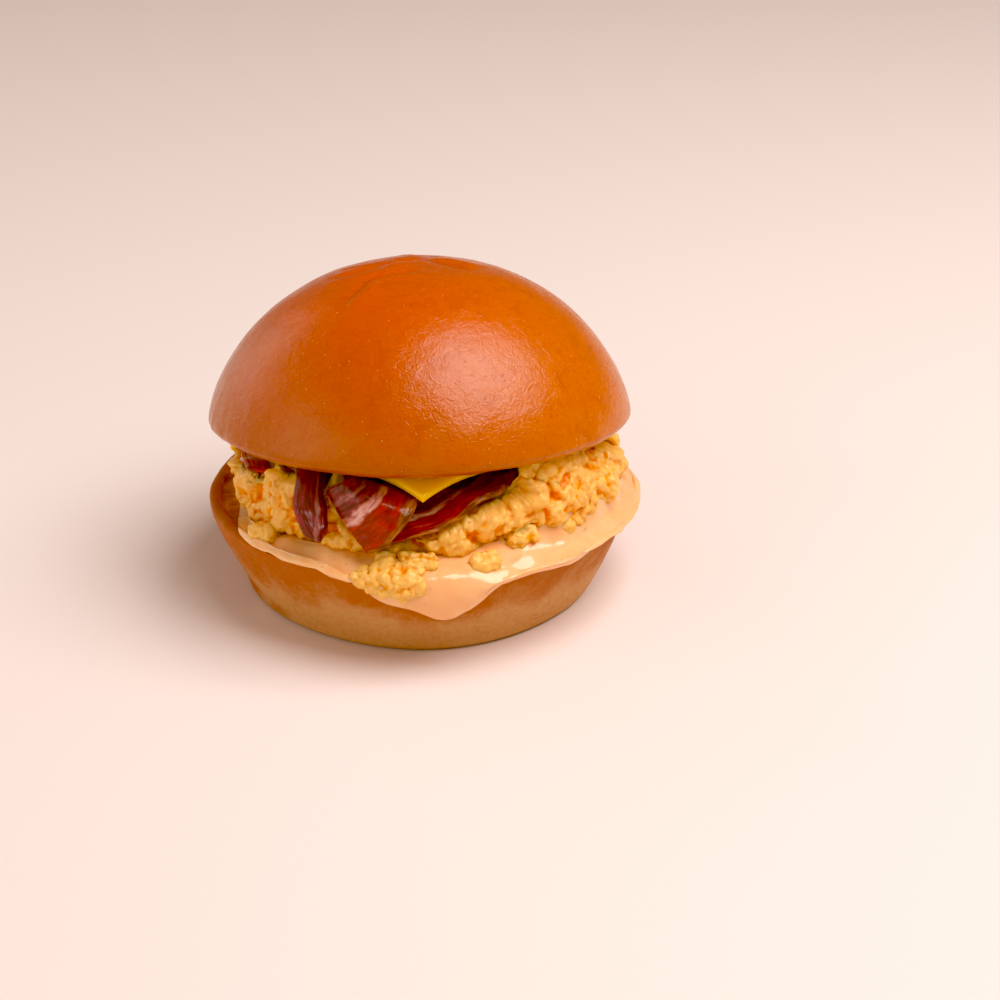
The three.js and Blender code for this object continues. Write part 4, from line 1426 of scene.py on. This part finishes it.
@dataclass
class Egg:
    """Scrambled egg: a craggy ring of curds between the sauce and the crown.

    Attributes:
        sauce, crown: the sauce under it and the crown over it.
        toppings: what it keeps clear of.
        bottom_radius, top_radius: the radius of its side at the foot and at the top.
        columns, rows: how many sections the mesh has, and how many rows its side has.
        spilt: heaps of curds on the sauce, each with its middle as an angle in degrees and a share of the way
            down the sauce, its spread in both, its number of curds, and their least and most radius.
        cell: the size of the cells in which those curds are melted together.
        curds: for each size of curd its width and height, how far noise twists it, and its seed.
        seed: tells one scatter of curds from another.
    """

    sauce: Sauce
    crown: Crown
    toppings: Toppings
    bottom_radius: float = 54.0
    top_radius: float = 50.5
    columns: int = 980
    rows: int = 70
    spilt: tuple[tuple[float, float, float, float, int, float, float], ...] = (
        (-95.5, 0.60, 9.5, 0.26, 80, 1.1, 2.1),
        (-92.0, 0.28, 9.0, 0.2, 22, 1.5, 2.6),
        (-71.0, 0.36, 3.4, 0.16, 12, 1.5, 2.3),
        (-138.0, 0.30, 6.0, 0.22, 18, 1.9, 2.8),
        (-57.0, 0.10, 5.0, 0.12, 12, 2.0, 3.0),
    )
    cell: float = 0.36
    curds: tuple[tuple[float, float, float, int], ...] = (
        (11.0, 5.4, 4.2, 211), (4.6, 1.8, 2.8, 213), (2.2, 1.0, 1.5, 217), (1.2, 0.5, 0.8, 219),
    )
    seed: int = 11

    def ring(self) -> Surface:
        """Works out the ring before it is made craggy.

        Its side leans in, and rounds off at both ends as a power of the distance from half-way up. Its
        underside is flat, and its top sinks towards the middle, below the toppings.

        Returns:
            The surface.
        """
        angle = full_turn(self.columns)
        uneven = 1.4 * np.cos(angle + math.radians(30)) + 1.2 * np.cos(2 * angle)
        uneven -= 2.4 * smooth_step(np.cos(angle + math.radians(160)), 0.86, 0.98)
        low = self.sauce.heel.cut_face_at(angle, self.bottom_radius) + self.sauce.deck + 2 * GAP
        high = self.crown.ceiling_at(self.top_radius * np.cos(angle), self.top_radius * np.sin(angle)) - GAP
        lean = self.top_radius - self.bottom_radius
        radii = [0 * angle, 25 + 0 * angle, 46 + 0 * angle]
        heights = [0 * angle + low.mean(), low, low]
        for share in np.linspace(0, 1, self.rows):
            inset = 3.4 * abs(2 * share - 1) ** 3.5 + 1.7 + 1.6 * (1 - share) ** 3
            radii.append(lean * share + self.bottom_radius + uneven - inset)
            heights.append(low + (high - low) * share)
        for share in np.linspace(0.1, 1, 9):
            radii.append(radii[self.rows + 2] * (1 - share) + 38 * share)
            heights.append(high - 7.5 * share**1.5)
        radii.append(0 * angle)
        heights.append(0 * angle + high.mean() - 8)
        return turned_surface(np.array(radii), np.array(heights), angle)

    def roughen(self, surface: Surface, sizes: tuple, strength: float) -> None:
        """Pushes a surface out into curds of a few sizes, each along the normals of the one before.

        Each size is packed lumps on coordinates that noise has twisted. Only the ring's outer side is pushed.

        Args:
            surface: the surface, which is changed.
            sizes: the sizes of curd, as in the attribute curds.
            strength: how much of the push the surface gets.
        """
        p = surface.points
        outer = smooth_step(np.hypot(p[:, 0], p[:, 1]), 40, 44) * strength
        twist = np.stack([layered_noise(p, 5.0, 201 + k, 2) for k in range(3)], axis=-1)
        for size, height, lean, seed in sizes:
            surface.swell(height * (lump_field(p + lean * twist, size, seed) - 0.62) * outer)
        surface.swell(sizes[-1][1] * 0.5 * layered_noise(p, sizes[-1][0] * 0.7, 219, 3) * outer)

    def lumps(self) -> Surface:
        """Works out the spilt curds: balls sunk into the sauce and melted together.

        Returns:
            Their skin.
        """
        rng = np.random.default_rng(self.seed)
        places, sizes = [], []
        for turn, down, turn_spread, down_spread, count, least, most in self.spilt:
            way, far = rng.uniform(0, 2 * np.pi, count), np.sqrt(rng.uniform(0, 1, count))
            angle = np.radians(turn + turn_spread * far * np.cos(way))
            share = np.clip(down + down_spread * far * np.sin(way), 0, 0.93)
            out_r, out_z = self.sauce.section(angle, np.linspace(0, 1, 41))
            row, column = np.round(share * 40).astype(int), np.arange(count)
            size = rng.uniform(least, most, count) * (1 - 0.4 * far**2)
            r = out_r[row, column] + 0.1 * size
            places.append(np.stack([r * np.cos(angle), r * np.sin(angle), out_z[row, column]], axis=-1))
            sizes.append(size)
        place, size = np.concatenate(places), np.concatenate(sizes)
        tilt = np.linspace(-np.pi / 2, np.pi / 2, 11)[:, None] + np.zeros(16)
        ball = turned_surface(np.cos(tilt), np.sin(tilt), full_turn(16))
        points = ball.points * size[:, None, None] + place[:, None]
        offset = (np.arange(len(place)) * len(ball.points))[:, None, None]
        faces = [(part + offset).reshape(-1, part.shape[1]) for part in (ball.quads, ball.triangles)]
        skin = melted(Surface(points.reshape(-1, 3), *faces), self.cell)
        skin.points = skin.relaxed(skin.points, 2)
        return skin

    def build(self) -> None:
        """Makes the ring and the spilt curds craggy and dresses them."""
        ring, lumps = self.ring(), self.lumps()
        ring.points = self.toppings.give_way(ring.points, 2.2, 3.0)
        self.roughen(ring, self.curds[:2], 1.0)
        self.roughen(lumps, self.curds[:2], 0.35)
        before = ring.points
        ring.points = self.toppings.give_way(before, 1.5, 5.0)
        moved = np.linalg.norm(ring.points - before, axis=1, keepdims=True)
        share = smooth_step(ring.relaxed(moved, 3), 0.0, 0.5)
        ring.points = ring.points * (1 - share) + ring.relaxed(ring.points, 5) * share
        self.roughen(ring, self.curds[2:], 1.0)
        self.roughen(lumps, self.curds[2:], 0.8)
        count = len(ring.points)
        surface = Surface(
            np.concatenate([ring.points, lumps.points]),
            np.concatenate([ring.quads, lumps.quads + count]),
            np.concatenate([ring.triangles, lumps.triangles + count]),
        )
        # Painted light and shade: how far each point lies in a hollow, so that the finish paints the creases
        # darker and the raised curds lighter.
        near = surface.relaxed(surface.points, 10)
        far = surface.relaxed(near, 70)
        painted_cavity_shading = np.sum((far - surface.points) * surface.normals(), axis=1) / 0.9
        surface.marks = {"painted_cavity_shading": smooth_step(painted_cavity_shading, -0.5, 0.9)}
        surface.add_piece("egg_scramble", SoftEgg().build(), Slot.EGG, "egg")


# The studio


@dataclass
class Studio:
    """A pale floor, soft light from above and the camera at the photograph's angle.

    Attributes:
        elevation: the camera's angle above the horizon, in degrees.
        distance: how far along its axis the sandwich's middle lies, in metres.
        aim_pixel: where the frame's origin falls in the photograph.
        focal_pixels, frame_pixels: the focal length and the photograph's width, in its pixels.
        lights: for each light its name, its direction from the sandwich, its distance and side in metres, its
            power in watts and its colour.
        sky: the world's colour.
        sky_strength: how bright the world is.
        black_level: how far each channel's dark end is deepened.
    """

    elevation: float = 26.9
    distance: float = 0.785
    aim_pixel: tuple[float, float] = (420.0, 565.0)
    focal_pixels: float = 2912.0
    frame_pixels: float = 1000.0
    lights: tuple[tuple[str, Triple, float, float, float, Triple], ...] = (
        ("softbox", (0.46, -0.14, 0.88), 1.0, 0.8, 12.8, (1.0, 0.97, 0.95)),
        ("left_fill", (-1.0, -0.4, 0.3), 1.6, 1.4, 8.5, (1.0, 0.93, 0.88)),
        ("front_fill", (-0.1, -0.9, 0.2), 1.6, 1.6, 3.5, (1.0, 0.94, 0.90)),
        ("back_left", (-0.9, 0.65, 0.3), 1.4, 1.0, 3.5, (1.0, 0.88, 0.82)),
    )
    sky: Triple = (1.0, 0.89, 0.84)
    sky_strength: float = 0.22
    black_level: Triple = (0.005, 0.015, 0.040)

    def add_camera(self) -> None:
        """Puts the camera where the origin falls on its pixel, looking along +Y and down."""
        tilt = math.radians(self.elevation)
        forward = Vector((0, math.cos(tilt), -math.sin(tilt)))
        upward = Vector((0, math.sin(tilt), math.cos(tilt)))
        right = (self.frame_pixels / 2 - self.aim_pixel[0]) / self.focal_pixels * self.distance
        lift = (self.aim_pixel[1] - self.frame_pixels / 2) / self.focal_pixels * self.distance
        data = bpy.data.cameras.new("camera")
        data.sensor_width = 36.0
        data.lens = self.focal_pixels / self.frame_pixels * data.sensor_width
        data.clip_start = 0.01
        camera = bpy.data.objects.new("camera", data)
        camera.location = -forward * self.distance + upward * lift + Vector((right, 0, 0))
        camera.rotation_euler = (math.pi / 2 - tilt, 0, 0)
        bpy.context.scene.collection.objects.link(camera)
        bpy.context.scene.camera = camera

    def add_lights(self) -> None:
        """Adds the square soft lights, which face the sandwich."""
        for name, toward, distance, size, power, colour in self.lights:
            data = bpy.data.lights.new(name, "AREA")
            data.shape = "SQUARE"
            data.size = size
            data.energy = power
            data.color = colour
            light = bpy.data.objects.new(name, data)
            way = Vector(toward).normalized()
            light.location = way * distance + Vector((0, 0, 0.05))
            light.rotation_euler = way.to_track_quat("Z", "Y").to_euler()
            bpy.context.scene.collection.objects.link(light)

    def add_floor(self) -> None:
        """Lays a wide pale floor, with painted shade that darkens it towards the back."""
        bpy.ops.mesh.primitive_plane_add(size=14.0)
        floor = bpy.context.object
        floor.name = "floor"
        n = Nodes("pale_floor")
        # Painted shade: the floor's colour darkens with distance towards the back, as the light falls off.
        far = n.level(n.axis("Y", n.place), 0.0, 1.8)
        n.set(Base_Color=n.blend(far, (0.83, 0.70, 0.65), (0.44, 0.31, 0.285)), Roughness=0.8)
        floor.data.materials.append(n.material)

    def build(self) -> None:
        """Sets up the floor, the world, the lights, the camera and the picture's dark end."""
        self.add_floor()
        world = bpy.data.worlds.new("soft_room")
        world.use_nodes = True
        sky = world.node_tree.nodes["Background"]
        sky.inputs["Color"].default_value = (*self.sky, 1.0)
        sky.inputs["Strength"].default_value = self.sky_strength
        bpy.context.scene.world = world
        self.add_lights()
        self.add_camera()
        view = bpy.context.scene.view_settings
        view.view_transform = "Standard"
        view.use_curve_mapping = True
        view.curve_mapping.black_level = self.black_level
        view.curve_mapping.update()


def main() -> None:
    """Builds the sandwich from the heel up, and the studio round it."""
    heel = Heel()
    crown = Crown()
    cheese = Cheese(crown)
    sauce = Sauce(heel)
    slices = rashers(cheese)
    heel.build()
    sauce.build()
    covers = [cheese.surface().points[::17]] + [rasher.surface().points[::9] for rasher in slices]
    Egg(sauce, crown, Toppings(np.concatenate(covers))).build()
    bacon = FriedBacon().build()
    for rasher in slices:
        rasher.build(bacon)
    cheese.build()
    crown.build()
    Studio().build()


if __name__ == "__main__":
    logging.basicConfig(level=logging.INFO, format="%(message)s")
    main()
